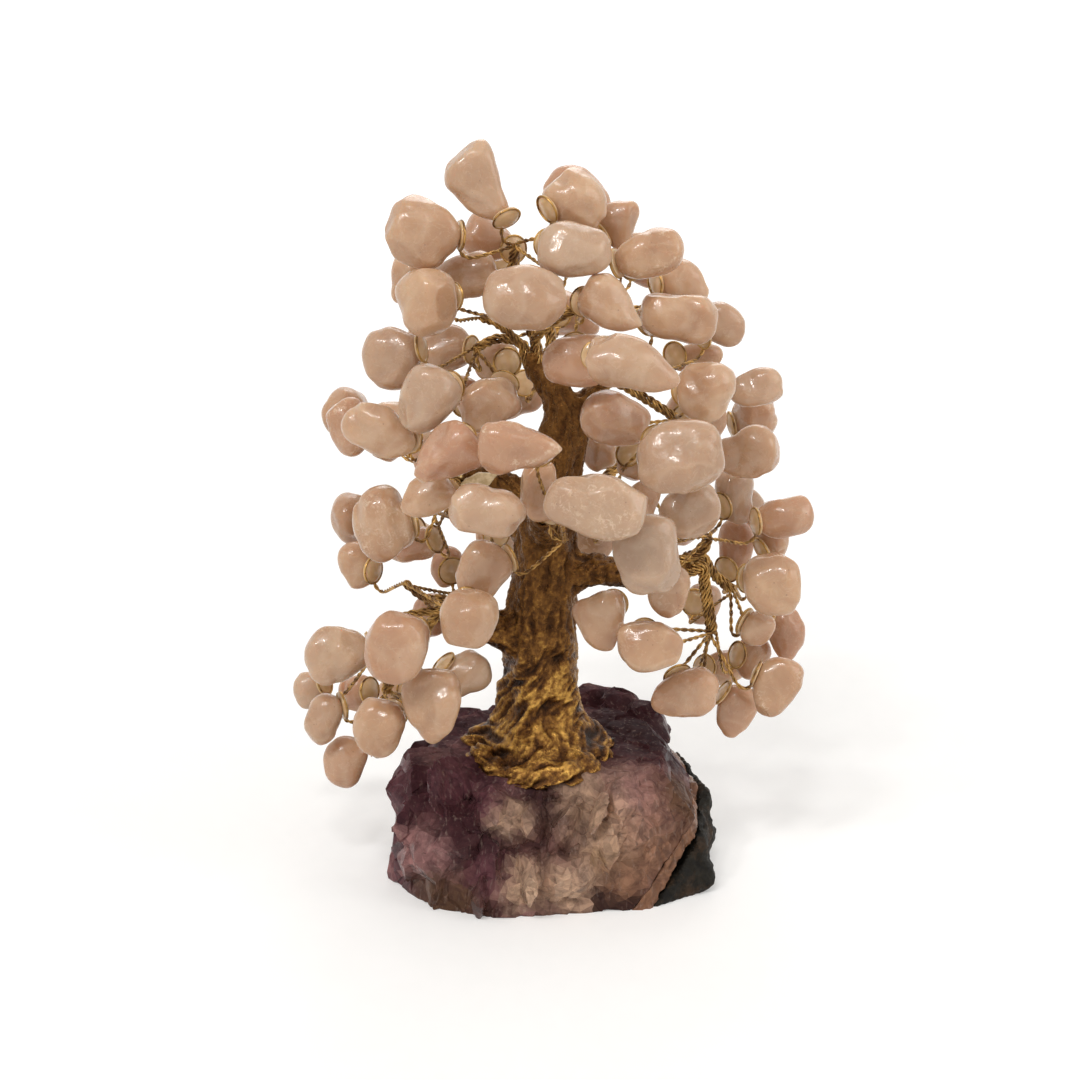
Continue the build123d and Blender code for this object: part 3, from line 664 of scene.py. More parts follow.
@dataclass
class TumbledPebbles:
    """The pebbles of one spray, lumpy, folded and worn to soft flats."""

    spray: str
    seats: list[Seat]
    seed: int
    voxel: float = 0.5 * MM
    flats: int = 5
    flat_depth: tuple[float, float] = (0.85, 0.96)
    worn: float = 0.85
    seat_cone: float = 0.35
    lump: float = 1.5 * MM
    lump_size: float = 9 * MM
    highest: float = 0.45 * MM
    fold: float = 0.5 * MM
    fold_size: float = 13 * MM
    fold_width: float = 0.18
    dent: float = 0.16 * MM
    dent_size: float = 2.6 * MM
    dent_level: float = 0.4
    held: float = 3.4 * MM
    fade: float = 3.0 * MM
    mood_shares: tuple[float, float, float] = (0.22, 0.5, 0.28)
    mood_least: float = 0.3
    tone_curve: float = 1.6
    cracked_share: float = 0.2

    def wear(self, mesh: bpy.types.Mesh, label: np.ndarray) -> None:
        """Rub soft flats onto each pebble, on the sides away from its loop.

        Args:
            mesh: The mesh of all the pebbles.
            label: The pebble that each corner is on.
        """
        draw = np.random.default_rng(self.seed)
        places = corners(mesh)
        for pebble in range(label.max() + 1):
            own = label == pebble
            middle = places[own].mean(axis=0)
            local = places[own] - middle
            seat = min(self.seats, key=lambda each: distances(places[own], each.middle).min())
            for _ in range(self.flats):
                out = draw.normal(size=3)
                out /= np.linalg.norm(out)
                keep = draw.uniform(*self.flat_depth)
                if out @ np.array(seat.out) > self.seat_cone:
                    continue
                reach = local @ out
                over = np.clip(reach - keep * reach.max(), 0, None)
                local -= self.worn * over[:, None] * out
            places[own] = local + middle
        set_corners(mesh, places)

    def knead(self, mesh: bpy.types.Mesh) -> None:
        """Raise lumps and press folds into the pebbles, but not where the loops lie."""
        places = corners(mesh)
        away = np.min([distances(places, seat.middle) for seat in self.seats], axis=0)
        free = np.clip((away - self.held) / self.fade, 0, 1)
        lumps = self.lump * rough(places, self.lump_size, 1, self.seed)
        creases = rough(places, self.fold_size, 1, self.seed + 0.5)
        folds = self.fold * np.exp(-((creases / self.fold_width) ** 2))
        dents = self.dent * (rough(places, self.dent_size) - self.dent_level)
        shift = np.minimum(lumps, self.highest) - folds + dents
        kneaded = places + (free * shift)[:, None] * directions(mesh)
        set_corners(mesh, np.clip(kneaded, *np.array(CAD_BOX)))

    def colour(self, mesh: bpy.types.Mesh, label: np.ndarray) -> None:
        """Draw each pebble's tone, its blush and whether it is cracked.

        Args:
            mesh: The mesh of all the pebbles.
            label: The pebble that each corner is on.
        """
        draw = np.random.default_rng(self.seed + 100)
        count = label.max() + 1
        tone = draw.uniform(0, 1, count) ** self.tone_curve
        blush = draw.choice([mood.value for mood in Blush], count, p=self.mood_shares)
        mark(mesh, "tone", tone[label])
        mark(mesh, "blush", (blush * draw.uniform(self.mood_least, 1, count))[label])
        mark(mesh, "cracked", (draw.uniform(0, 1, count) < self.cracked_share)[label].astype(float))

    def build(self, material: bpy.types.Material) -> bpy.types.Object:
        """Make the pebbles.

        Args:
            material: The rose quartz.

        Returns:
            The piece that stands for the spray's solid pebbles.
        """
        node = f"{self.spray}_stones"
        piece = merged_copy(node, f"{self.spray}_pebbles")
        apply_modifier(piece, "REMESH", mode="VOXEL", voxel_size=self.voxel)
        label = islands(piece.data)
        self.wear(piece.data, label)
        self.knead(piece.data)
        apply_modifier(piece, "SMOOTH", factor=0.5, iterations=5)
        self.colour(piece.data, label)
        piece.data.shade_smooth()
        return finished(piece, material, "rose_quartz", node)


# The wires and the resin


@dataclass(frozen=True)
class Spray:
    """A rope of wire from the tip of a limb to the hub where its twigs part."""

    limb: str
    route_px: tuple[tuple[float, float, float], ...]


SPRAYS = {
    "crown_top": Spray("apex", ((509, 292, 0.05), (515, 245, 0.0))),
    "middle_left": Spray("apex", ((498, 336, 0.08), (474, 350, 0.0))),
    "upper_left": Spray("apex", ((500, 324, -0.02), (480, 317, -0.06))),
    "upper_right": Spray("apex", ((545, 325, -0.05), (577, 308, -0.05))),
    "right_top": Spray("upper_right", ((640, 378, 0.1), (668, 372, 0.08))),
    "right_middle": Spray("upper_right", ((645, 398, 0.0), (676, 418, -0.02))),
    "left_upper": Spray("left", ((440, 462, -0.12), (428, 447, -0.1))),
    "left_lower": Spray("left", ((440, 496, -0.2), (434, 512, -0.2))),
    "middle_front": Spray("front", ((554, 523, -0.37), (566, 540, -0.46))),
    "low_left_upper": Spray("low_left", ((425, 600, -0.1), (404, 582, -0.1))),
    "low_left_lower": Spray("low_left", ((430, 626, 0.0), (398, 664, 0.0), (386, 690, -0.05))),
    "low_left_middle": Spray("low_left", ((424, 612, -0.12), (404, 616, -0.14))),
    "right_inner": Spray("right", ((704, 550, -0.12), (708, 536, -0.16))),
    "right_lower": Spray("right", ((704, 582, -0.1), (708, 606, -0.12), (712, 632, -0.14))),
    "right_outer": Spray("right", ((712, 574, 0.02), (733, 590, 0.02))),
    "back_top": Spray("back_top", ((553, 356, 0.36), (549, 326, 0.42))),
    "back_left": Spray("back_left", ((484, 492, 0.42), (468, 474, 0.5))),
    "back_right": Spray("back_right", ((616, 466, 0.42), (632, 448, 0.5))),
}

LIMB_ENDS_PX = {
    "apex": ((535, 365, 0.01), (531, 351, 0.02)),
    "upper_right": ((590, 398, 0.02), (606, 384, 0.03)),
    "left": ((474, 480, -0.14), (458, 476, -0.16)),
    "front": ((540, 522, -0.22), (543, 517, -0.3)),
    "low_left": ((466, 614, -0.08), (450, 606, -0.09)),
    "right": ((675, 569, -0.08), (694, 561, -0.09)),
    "back_top": ((561, 406, 0.2), (556, 386, 0.28)),
    "back_left": ((518, 526, 0.24), (499, 508, 0.33)),
    "back_right": ((583, 502, 0.24), (601, 484, 0.33)),
}


def rounded(points: Sequence[Vector], passes: int = 3) -> list[Vector]:
    """Cut the corners of a route until it is smooth.

    Args:
        points: The route's corners.
        passes: How often the corners are cut.

    Returns:
        The smoother route, with the same ends.
    """
    line = list(points)
    for _ in range(passes):
        cut = [line[0]]
        for before, after in zip(line, line[1:]):
            cut.append(before.lerp(after, 0.25))
            cut.append(before.lerp(after, 0.75))
        cut.append(line[-1])
        line = cut
    return line


def even(points: Sequence[Vector], step: float) -> list[Vector]:
    """Divide a route into even steps.

    Args:
        points: The route.
        step: About how long each step is.

    Returns:
        Points along the route, its ends among them.
    """
    lengths = [0.0]
    for before, after in zip(points, points[1:]):
        lengths.append(lengths[-1] + (after - before).length)
    count = max(2, round(lengths[-1] / step))
    ways = np.linspace(0, lengths[-1], count + 1)
    rows = np.array([tuple(point) for point in points])
    stepped = np.stack([np.interp(ways, lengths, column) for column in rows.T], axis=1)
    return [Vector(row) for row in stepped]


def wound(points: Sequence[Vector], offset: float, pitch: float, start: float) -> list[Vector]:
    """Wind a line round a route.

    Args:
        points: The route, in even steps.
        offset: How far from the route the line runs.
        pitch: The length of one turn.
        start: The turn at which it begins.

    Returns:
        The wound line.
    """
    side = (points[1] - points[0]).orthogonal().normalized()
    way = 0.0
    line = []
    for number, point in enumerate(points):
        ahead = points[min(number + 1, len(points) - 1)] - points[max(number - 1, 0)]
        ahead = ahead.normalized()
        side = (side - ahead * side.dot(ahead)).normalized()
        other = ahead.cross(side)
        turn = start + math.tau * way / pitch
        line.append(point + (side * math.cos(turn) + other * math.sin(turn)) * offset)
        if number + 1 < len(points):
            way += (points[number + 1] - point).length
    return line


@dataclass
class TwistedWires:
    """The rope and the twigs of one spray, each twig a pair of wires twisted together."""

    spray: str
    route: Spray
    seats: list[Seat]
    wire_radius: float = 0.25 * MM
    pair_radius: float = 0.535 * MM
    loop_radius: float = 3.25 * MM
    stem_reach: float = 2.2 * MM
    pair_pitch: float = 3.9 * MM
    rope_pitch: float = 17 * MM
    step: float = 0.42 * MM
    sunk: float = 3 * MM
    limb_reach: float = 5 * MM
    stub: float = 2 * MM
    face_gap: float = 0.05 * MM
    squeeze: float = 0.86
    sway: float = 0.55 * MM
    sway_size: float = 9 * MM
    smoothings: int = 3
    loop_parts: int = 26

    def limb_end(self) -> tuple[Vector, Vector]:
        """Find the tip of the limb and the way out of it."""
        inner, tip = (PHOTO.place(*row) for row in LIMB_ENDS_PX[self.route.limb])
        return tip, (tip - inner).normalized()

    def rope_line(self) -> list[Vector]:
        """Find the middle line of the rope, from inside its limb to its hub."""
        tip, out = self.limb_end()
        places = corners(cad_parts[f"{self.spray}_wires"].data)
        level = np.abs((places - np.array(tip)) @ np.array(out)) < self.face_gap
        foot = level & (distances(places, tip) < self.limb_reach)
        start = Vector(places[foot].mean(axis=0)) if foot.any() else tip
        route = [PHOTO.place(*place) for place in self.route.route_px]
        return [start - out * self.sunk, start, start + out * self.stub, *route]

    def twig_end(self, seat: Seat) -> tuple[list[Vector], Vector]:
        """Find the last stretch of a twig, and the middle of its loop."""
        middle = seat.middle + seat.out * (self.pair_radius + self.face_gap)
        down = Vector((0, 0, -1))
        stem = (down - seat.out * down.dot(seat.out)).normalized()
        return [
            middle + stem * (self.loop_radius + self.stem_reach) + seat.out * self.stem_reach,
            middle + stem * (self.loop_radius + self.stem_reach / 3),
            middle + stem * self.loop_radius,
        ], middle

    def pair_line(self, number: int, rope: Sequence[Vector], seat: Seat) -> list[Vector]:
        """Find the middle line of one twisted pair, from the limb to its loop."""
        count = len(self.seats)
        lane = self.squeeze * self.pair_radius / math.sin(math.pi / max(count, 2))
        wound_rope = wound(rope, lane, self.rope_pitch, math.tau * number / count)
        ending, _ = self.twig_end(seat)
        hub = wound_rope[-1]
        middle = hub.lerp(ending[0], 0.5)
        bow = noise.noise_vector(middle / self.sway_size) * self.sway
        twig = rounded([hub, middle + bow, *ending])
        line = even([*wound_rope[:-1], *twig], self.step)
        for _ in range(self.smoothings):
            inner = [(a + b * 2 + c) / 4 for a, b, c in zip(line, line[1:], line[2:])]
            line = [line[0], *inner, line[-1]]
        return line

    def loop(self, seat: Seat) -> list[Vector]:
        """Find the middle line of the loop that lies on a seat."""
        _, middle = self.twig_end(seat)
        side = seat.out.orthogonal().normalized()
        other = seat.out.cross(side)
        ring = []
        for part in range(self.loop_parts):
            turn = math.tau * part / self.loop_parts
            ring.append(middle + (side * math.cos(turn) + other * math.sin(turn)) * self.loop_radius)
        return ring

    def strand(self, curve: bpy.types.Curve, points: Sequence[Vector], closed: bool = False) -> None:
        """Add one wire to the curve."""
        spline = curve.splines.new("POLY")
        spline.points.add(len(points) - 1)
        spline.points.foreach_set("co", [part for point in points for part in (*point, 1.0)])
        spline.use_cyclic_u = closed

    def build(self, material: bpy.types.Material) -> bpy.types.Object:
        """Lay the wires.

        Args:
            material: The brass.

        Returns:
            The piece that stands for the spray's solid wires.
        """
        curve = bpy.data.curves.new(f"{self.spray}_strands", "CURVE")
        curve.dimensions = "3D"
        curve.bevel_depth = self.wire_radius
        curve.bevel_resolution = 1
        curve.use_fill_caps = True
        rope = even(rounded(self.rope_line()), self.step)
        for number, seat in enumerate(self.seats):
            line = self.pair_line(number, rope, seat)
            for half in range(2):
                self.strand(curve, wound(line, self.wire_radius, self.pair_pitch, math.pi * half))
            self.strand(curve, self.loop(seat), closed=True)
        piece = bpy.data.objects.new(f"{self.spray}_strands", curve)
        bpy.context.scene.collection.objects.link(piece)
        take_up(piece)
        bpy.ops.object.convert(target="MESH")
        piece = bpy.context.view_layer.objects.active
        piece.data.shade_smooth()
        return finished(piece, material, "brass_wire", f"{self.spray}_wires")


@dataclass
class ResinLenses:
    """The resin that fills the loops of one spray and glues them to the pebbles."""

    spray: str
    seats: list[Seat]
    radius: float = 3.28 * MM
    rise: float = 1.25 * MM
    foot: float = 0.12
    uneven: float = 0.06
    domed: float = 0.2

    def model(self) -> bpy.types.Mesh:
        """Model one lens: flat where it lies on the pebble, domed over the loop."""
        lens = modelled(bpy.ops.mesh.primitive_uv_sphere_add, segments=28, ring_count=14, radius=1.0)
        edit(lens)
        cut = (0, 0, -self.foot)
        bpy.ops.mesh.bisect(plane_co=cut, plane_no=(0, 0, 1), clear_inner=True, use_fill=True)
        bpy.ops.mesh.select_all(action="SELECT")
        bpy.ops.transform.translate(value=(0, 0, self.foot))
        bpy.ops.transform.resize(value=(self.radius, self.radius, self.rise), center_override=(0, 0, 0))
        leave_edit()
        mesh = lens.data
        bpy.data.objects.remove(lens)
        return mesh

    def build(self, material: bpy.types.Material) -> bpy.types.Object:
        """Set a lens on each seat.

        Args:
            material: The resin.

        Returns:
            The piece that stands for the spray's solid pads.
        """
        model = self.model()
        copies = []
        for number, seat in enumerate(self.seats):
            mesh = model.copy()
            turn = seat.out.to_track_quat("Z", "Y").to_matrix().to_4x4()
            wide, high = 1 + self.uneven * math.sin(3 * number), 1 + self.domed * math.cos(5 * number)
            squash = Matrix.Diagonal((wide, 1, high, 1))
            mesh.transform(Matrix.Translation(seat.middle) @ turn @ squash)
            copies.append(bpy.data.objects.new(f"{self.spray}_lens", mesh))
            bpy.context.scene.collection.objects.link(copies[-1])
        piece = copies[0]
        join(piece, copies)
        piece.name = f"{self.spray}_lenses"
        piece.data.shade_smooth()
        return finished(piece, material, "clear_resin", f"{self.spray}_resin")


# The trunk


# Where the trunk's skirt of putty lies on the crystals: pixels of the photograph
SKIRT_PX = (
    (476, 742), (480, 761), (496, 772), (514, 777), (532, 780), (550, 780), (568, 776),
    (585, 769), (598, 758), (595, 741), (530, 762), (553, 762), (572, 756), (585, 748),
)


@dataclass
class GiltTrunk:
    """The hand-modelled trunk: strokes that swirl round the foot, and fibres up the limbs."""

    voxel: float = 0.45 * MM
    lump: float = 0.9 * MM
    lump_size: float = 7 * MM
    lump_level: float = 0.4
    stroke: float = 0.6 * MM
    stroke_size: float = 2.6 * MM
    stroke_rise: float = 0.3
    stroke_reach: float = 0.3
    stroke_length: float = 0.12
    warp: float = 4 * MM
    warp_size: float = 14 * MM
    skirt_lump: float = 4.2 * MM
    skirt_sunk: float = 1.6 * MM
    skirt_bottom: float = 27.8 * MM
    skirt_front: float = -19 * MM
    fibre: float = 0.45 * MM
    fibre_size: float = 2.2 * MM
    fibre_stretch: float = 0.3
    sharpness: float = 2.4
    ridge_level: float = 0.8
    grain: float = 0.22 * MM
    grain_size: float = 1.2 * MM
    ridge_base: float = 0.44
    ridge_strokes: float = 0.32
    ridge_fibres: float = 0.14
    ridge_grain: float = 0.2
    ridge_lumps: float = 0.08
    foot_radius: float = 16 * MM
    foot_middle: tuple[float, float] = (-2 * MM, -5 * MM)
    foot_top: float = 48 * MM
    fibre_start: float = 62 * MM
    crown_top: float = 95 * MM

    def strokes(self, places: np.ndarray) -> np.ndarray:
        """Work out the ridges that a thumb drew slantwise round the foot, from -1 to 1."""
        across, deep = places[:, 0] - self.foot_middle[0], places[:, 1] - self.foot_middle[1]
        reach = np.hypot(across, deep)
        around = np.arctan2(across, -deep) * self.foot_radius
        warp = rough(places, self.warp_size, 2, 11.0) * self.warp
        height = places[:, 2] - self.stroke_rise * around + warp
        slanted = np.stack([self.stroke_length * around, self.stroke_reach * reach, height], axis=1)
        return 1 - self.sharpness * np.abs(rough(slanted, self.stroke_size, 2, 3.0))

    def spread_skirt(self, piece: bpy.types.Object) -> None:
        """Lay the skirt over the crystals and take off what hangs below its rim."""
        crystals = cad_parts["amethyst_crystals"].data
        faces = [tuple(face.vertices) for face in crystals.polygons]
        tree = BVHTree.FromPolygons([tuple(place) for place in corners(crystals)], faces)
        lumps = []
        for pixel in SKIRT_PX:
            ray = PHOTO.ray(*pixel).normalized()
            where, _, _, _ = tree.ray_cast(PHOTO.viewpoint, ray)
            if where is not None:
                ball = {"radius": self.skirt_lump, "location": where + ray * self.skirt_sunk}
                lumps.append(modelled(bpy.ops.mesh.primitive_ico_sphere_add, subdivisions=3, **ball))
        join(piece, lumps)
        apply_modifier(piece, "REMESH", mode="VOXEL", voxel_size=self.voxel)
        places = corners(piece.data)
        hanging = places[:, 1] < self.skirt_front
        places[hanging, 2] = np.maximum(places[hanging, 2], self.skirt_bottom)
        set_corners(piece.data, places)

    def build(self, material: bpy.types.Material) -> bpy.types.Object:
        """Make the trunk.

        Args:
            material: The gold paint.

        Returns:
            The piece that stands for the solid trunk.
        """
        piece = merged_copy("trunk_putty", "gilt_trunk")
        self.spread_skirt(piece)
        apply_modifier(piece, "REMESH", mode="VOXEL", voxel_size=self.voxel)
        mesh = piece.data
        places = corners(mesh)
        upper = np.clip((places[:, 2] - self.foot_top) / (self.fibre_start - self.foot_top), 0, 1)
        lumps = rough(places, self.lump_size, 2)
        strokes = self.strokes(places)
        drawn = places * np.array([1.0, 1.0, self.fibre_stretch])
        fibres = 1 - self.sharpness * np.abs(rough(drawn, self.fibre_size, 3, 5.0))
        grain = rough(places, self.grain_size, 3, 7.0)
        marks = (1 - upper) * self.stroke * (strokes - self.ridge_level)
        marks = marks + upper * self.fibre * (fibres - self.ridge_level)
        shift = self.lump * (lumps - self.lump_level) + marks + self.grain * grain
        set_corners(mesh, places + shift[:, None] * directions(mesh))
        ridge = self.ridge_base + (1 - upper) * self.ridge_strokes * strokes
        ridge = ridge + upper * self.ridge_fibres * fibres
        ridge = ridge + self.ridge_grain * grain + self.ridge_lumps * lumps
        height = np.clip((places[:, 2] - self.foot_top) / (self.crown_top - self.foot_top), 0, 1)
        mark(mesh, "ridge", np.clip(ridge, 0, 1))
        mark(mesh, "height", height)
        mesh.shade_smooth()
        return finished(piece, material, "gold_paint", "trunk_putty")


# The cluster


class Tint(Enum):
    """The colours of the cluster's zones."""

    # Dark rind with painted shade, as under the crystals' overhang.
    BLACK = paint(24, 16, 14)
    DEEP = paint(56, 29, 31)
    PLUM = paint(86, 48, 50)
    PURPLE = paint(104, 64, 70)
    LAVENDER = paint(158, 116, 112)
    MILK = paint(214, 178, 148)
    TAN = paint(140, 102, 78)
    BROWN = paint(98, 72, 52)
    OCHRE = paint(172, 140, 100)


# The cluster's zones in the photograph: a pixel, how far the zone reaches in millimetres, its tint
CLUSTER_ZONES_PX = (
    # The small lavender zone at (432, 758) is a painted sheen along the top edge of the left block.
    (420, 775, 7, Tint.PURPLE), (432, 758, 3, Tint.LAVENDER), (424, 856, 6, Tint.LAVENDER),
    (466, 838, 7, Tint.DEEP), (445, 896, 6, Tint.BROWN), (490, 800, 5, Tint.PURPLE),
    (514, 815, 4, Tint.MILK), (560, 850, 7, Tint.PLUM), (528, 888, 5, Tint.MILK), (572, 886, 5, Tint.MILK),
    (600, 826, 8, Tint.MILK), (600, 856, 3, Tint.OCHRE), (650, 836, 9, Tint.TAN), (540, 806, 5, Tint.DEEP),
    (640, 726, 9, Tint.DEEP), (640, 800, 6, Tint.LAVENDER), (684, 800, 5, Tint.BROWN),
    (682, 880, 5, Tint.BROWN), (410, 800, 4, Tint.DEEP), (485, 870, 4, Tint.PURPLE),
    # The two black zones at the bottom are painted shade under the crystals, where the dark rind lies in
    # shadow.
    (620, 882, 4, Tint.TAN), (634, 903, 3, Tint.BLACK), (607, 906, 3, Tint.BLACK),
)


@dataclass(frozen=True)
class Shard:
    """A small crystal: its tip's pixel and depth, its turn and lean in degrees, and its size."""

    tip: tuple[float, float, float]
    azimuth: float
    lean: float
    radius: float
    length: float
    blunt: float = 0.35

    def model(self) -> bpy.types.Object:
        """Model the crystal as a blunt six-sided point."""
        turn, rise = math.radians(self.azimuth), math.radians(self.lean)
        flat = math.cos(rise)
        axis = Vector((flat * math.cos(turn), flat * math.sin(turn), math.sin(rise)))
        return modelled(
            bpy.ops.mesh.primitive_cone_add, vertices=6, depth=self.length,
            radius1=self.radius, radius2=self.blunt * self.radius,
            location=PHOTO.place(*self.tip) - axis * (self.length / 2),
            rotation=axis.to_track_quat("Z", "Y").to_euler(),
        )


# The small crystals that fill the hollows in front of the trunk
SHARDS = (
    Shard((541, 797, -0.44), 268, 24, 3.4 * MM, 12.0 * MM),
    Shard((526, 799, -0.43), 255, 34, 2.6 * MM, 10.0 * MM),
    Shard((557, 796, -0.43), 284, 30, 2.8 * MM, 10.0 * MM),
    Shard((506, 806, -0.46), 250, 18, 2.6 * MM, 9.0 * MM),
    Shard((580, 800, -0.44), 290, 22, 2.6 * MM, 9.0 * MM),
)


@dataclass
class AmethystCluster:
    """The amethyst: crystal faces, broken faces between them, zones of tint, and painted reflections and
    shade on the faces.
    """

    voxel: float = 0.5 * MM
    facet: float = 0.7 * MM
    facet_size: float = 6 * MM
    facet_level: float = 0.3
    tilt: float = 1.6
    tilt_step: float = 9.7
    groove: float = 0.35
    chip: float = 0.14 * MM
    chip_size: float = 1.6 * MM
    highest: float = 0.4 * MM
    kept_share: float = 0.09
    zone_warp: float = 3.0 * MM
    warp_size: float = 5 * MM
    mottle_size: float = 6 * MM
    ground: float = 0.06
    paleness: float = 0.6
    pale_from: float = 0.55
    pale_range: float = 0.25
    reflection_contrast: float = 0.5
    reflection_size: float = 14 * MM
    reflection_step: float = 0.45
    top_shade: float = 0.25
    crease_angle: float = 16.0

    def broken(self, places: np.ndarray) -> np.ndarray:
        """Work out the height of broken crystal faces at each place."""
        heights = []
        for place in (places / self.facet_size).tolist():
            ways, centres = noise.voronoi(place)
            tilt = noise.noise_vector(centres[0] * self.tilt_step)
            edge = min(ways[1] - ways[0], self.groove)
            heights.append(tilt.dot(Vector(place) - centres[0]) * self.tilt + edge)
        return np.array(heights)

    def zones(self, piece: bpy.types.Object, places: np.ndarray) -> np.ndarray:
        """Colour each face by the zones of the photograph.

        Args:
            piece: The cluster, for finding where the zones' pixels meet it.
            places: The middles of its faces.

        Returns:
            A colour for each face.
        """
        warp = np.stack([rough(places, self.warp_size, 3, shift) for shift in (1.0, 5.0, 9.0)], axis=1)
        warped = places + self.zone_warp * warp
        mottle = 0.5 + 0.5 * rough(places, self.mottle_size, 3, 2.0)[:, None]
        pale = self.paleness * np.clip((mottle - self.pale_from) / self.pale_range, 0, 1)
        plain = np.array(Tint.DEEP.value) * (1 - mottle) + np.array(Tint.PURPLE.value) * mottle
        total = self.ground * (plain * (1 - pale) + np.array(Tint.LAVENDER.value) * pale)
        weight = np.full(len(places), self.ground)
        for across, down, reach, tint in CLUSTER_ZONES_PX:
            hit, where, _, _ = piece.ray_cast(PHOTO.viewpoint, PHOTO.ray(across, down).normalized())
            if not hit:
                LOG.info("zone (%d, %d) lies beside the cluster", across, down)
                continue
            pull = np.exp(-((distances(warped, where) / (reach * MM)) ** 2))
            total += pull[:, None] * np.array(tint.value)
            weight += pull
        return total / weight[:, None]

    def build(self, material: bpy.types.Material) -> bpy.types.Object:
        """Make the amethyst.

        Args:
            material: The amethyst finish.

        Returns:
            The piece that stands for the solid amethyst.
        """
        piece = merged_copy("amethyst_crystals", "amethyst")
        join(piece, [shard.model() for shard in SHARDS])
        apply_modifier(piece, "REMESH", mode="VOXEL", voxel_size=self.voxel)
        mesh = piece.data
        places = corners(mesh)
        chips = self.chip * rough(places, self.chip_size, 3)
        shift = self.facet * (self.broken(places) - self.facet_level) + chips
        set_corners(mesh, places + np.minimum(shift, self.highest)[:, None] * directions(mesh))
        apply_modifier(piece, "DECIMATE", ratio=self.kept_share)
        mesh = piece.data
        places = corners(mesh)
        places[:, 2] = np.maximum(places[:, 2], 0)
        set_corners(mesh, places)
        middles = np.array([face.center for face in mesh.polygons])
        facings = np.array([face.normal for face in mesh.polygons])
        # Painted reflections and shade: each face is lighter or darker by the way it faces, and faces that
        # look up are painted darker; both are multiplied into the tint.
        facet_reflections = rough(facings + middles / self.reflection_size, self.reflection_step)
        upward = np.clip(facings[:, 2], 0, 1)
        shade = (1 + self.reflection_contrast * facet_reflections) * (1 - self.top_shade * upward)
        tint = self.zones(piece, middles) * shade[:, None]
        tint[:, 3] = 1
        mark(mesh, "tint", np.clip(tint, 0, 1), "FACE")
        mark(mesh, "upward", upward, "FACE")
        take_up(piece)
        bpy.ops.object.shade_smooth_by_angle(angle=math.radians(self.crease_angle))
        return finished(piece, material, "amethyst", "amethyst_crystals")


@dataclass
class RoughRock:
    """The rind or the band: rock that is knobbly at every scale."""

    node: str
    name: str
    slot: str
    voxel: float = 0.6 * MM
    knob: float = 1.1 * MM
    grit: float = 0.35 * MM
    swell: float = 0.0
    knob_size: float = 6 * MM
    knob_level: float = 0.4
    grit_size: float = 1.6 * MM
    swell_size: float = 11 * MM
    highest: float = 0.3 * MM
    foot: float = 1.5 * MM
    crease_angle: float = 35.0

    def build(self, material: bpy.types.Material) -> bpy.types.Object:
        """Make the rock.

        Args:
            material: Its finish.

        Returns:
            The piece that stands for the solid.
        """
        piece = merged_copy(self.node, self.name)
        apply_modifier(piece, "REMESH", mode="VOXEL", voxel_size=self.voxel)
        mesh = piece.data
        places = corners(mesh)
        knobs = self.knob * (rough(places, self.knob_size, 3) - self.knob_level)
        shift = knobs + self.grit * rough(places, self.grit_size, 3, 4.0)
        standing = np.clip(places[:, 2] / self.foot, 0, 1)
        outward = directions(mesh)
        swell = self.swell * np.clip(outward[:, 0], 0, 1) * (1 + rough(places, self.swell_size, 3, 2.0))
        shift = np.minimum(shift, self.highest) + swell
        set_corners(mesh, places + (standing * shift)[:, None] * outward)
        mark(mesh, "tint", np.tile(np.array(Tint.TAN.value), (len(places), 1)))
        take_up(piece)
        bpy.ops.object.shade_smooth_by_angle(angle=math.radians(self.crease_angle))
        return finished(piece, material, self.slot, self.node)


# The studio


def seen_rays(tree: bpy.types.NodeTree) -> Socket:
    """Tell the rays that show the background: from the camera, off metal and through glass.

    Args:
        tree: The nodes of the floor or the world.

    Returns:
        One for such a ray, and nothing for others.
    """
    path = tree.nodes.new("ShaderNodeLightPath")
    seen = path.outputs["Is Camera Ray"]
    for kind in ("Is Glossy Ray", "Is Transmission Ray"):
        either = tree.nodes.new("ShaderNodeMath")
        either.operation = "MAXIMUM"
        tree.links.new(seen, either.inputs[0])
        tree.links.new(path.outputs[kind], either.inputs[1])
        seen = either.outputs[0]
    return seen


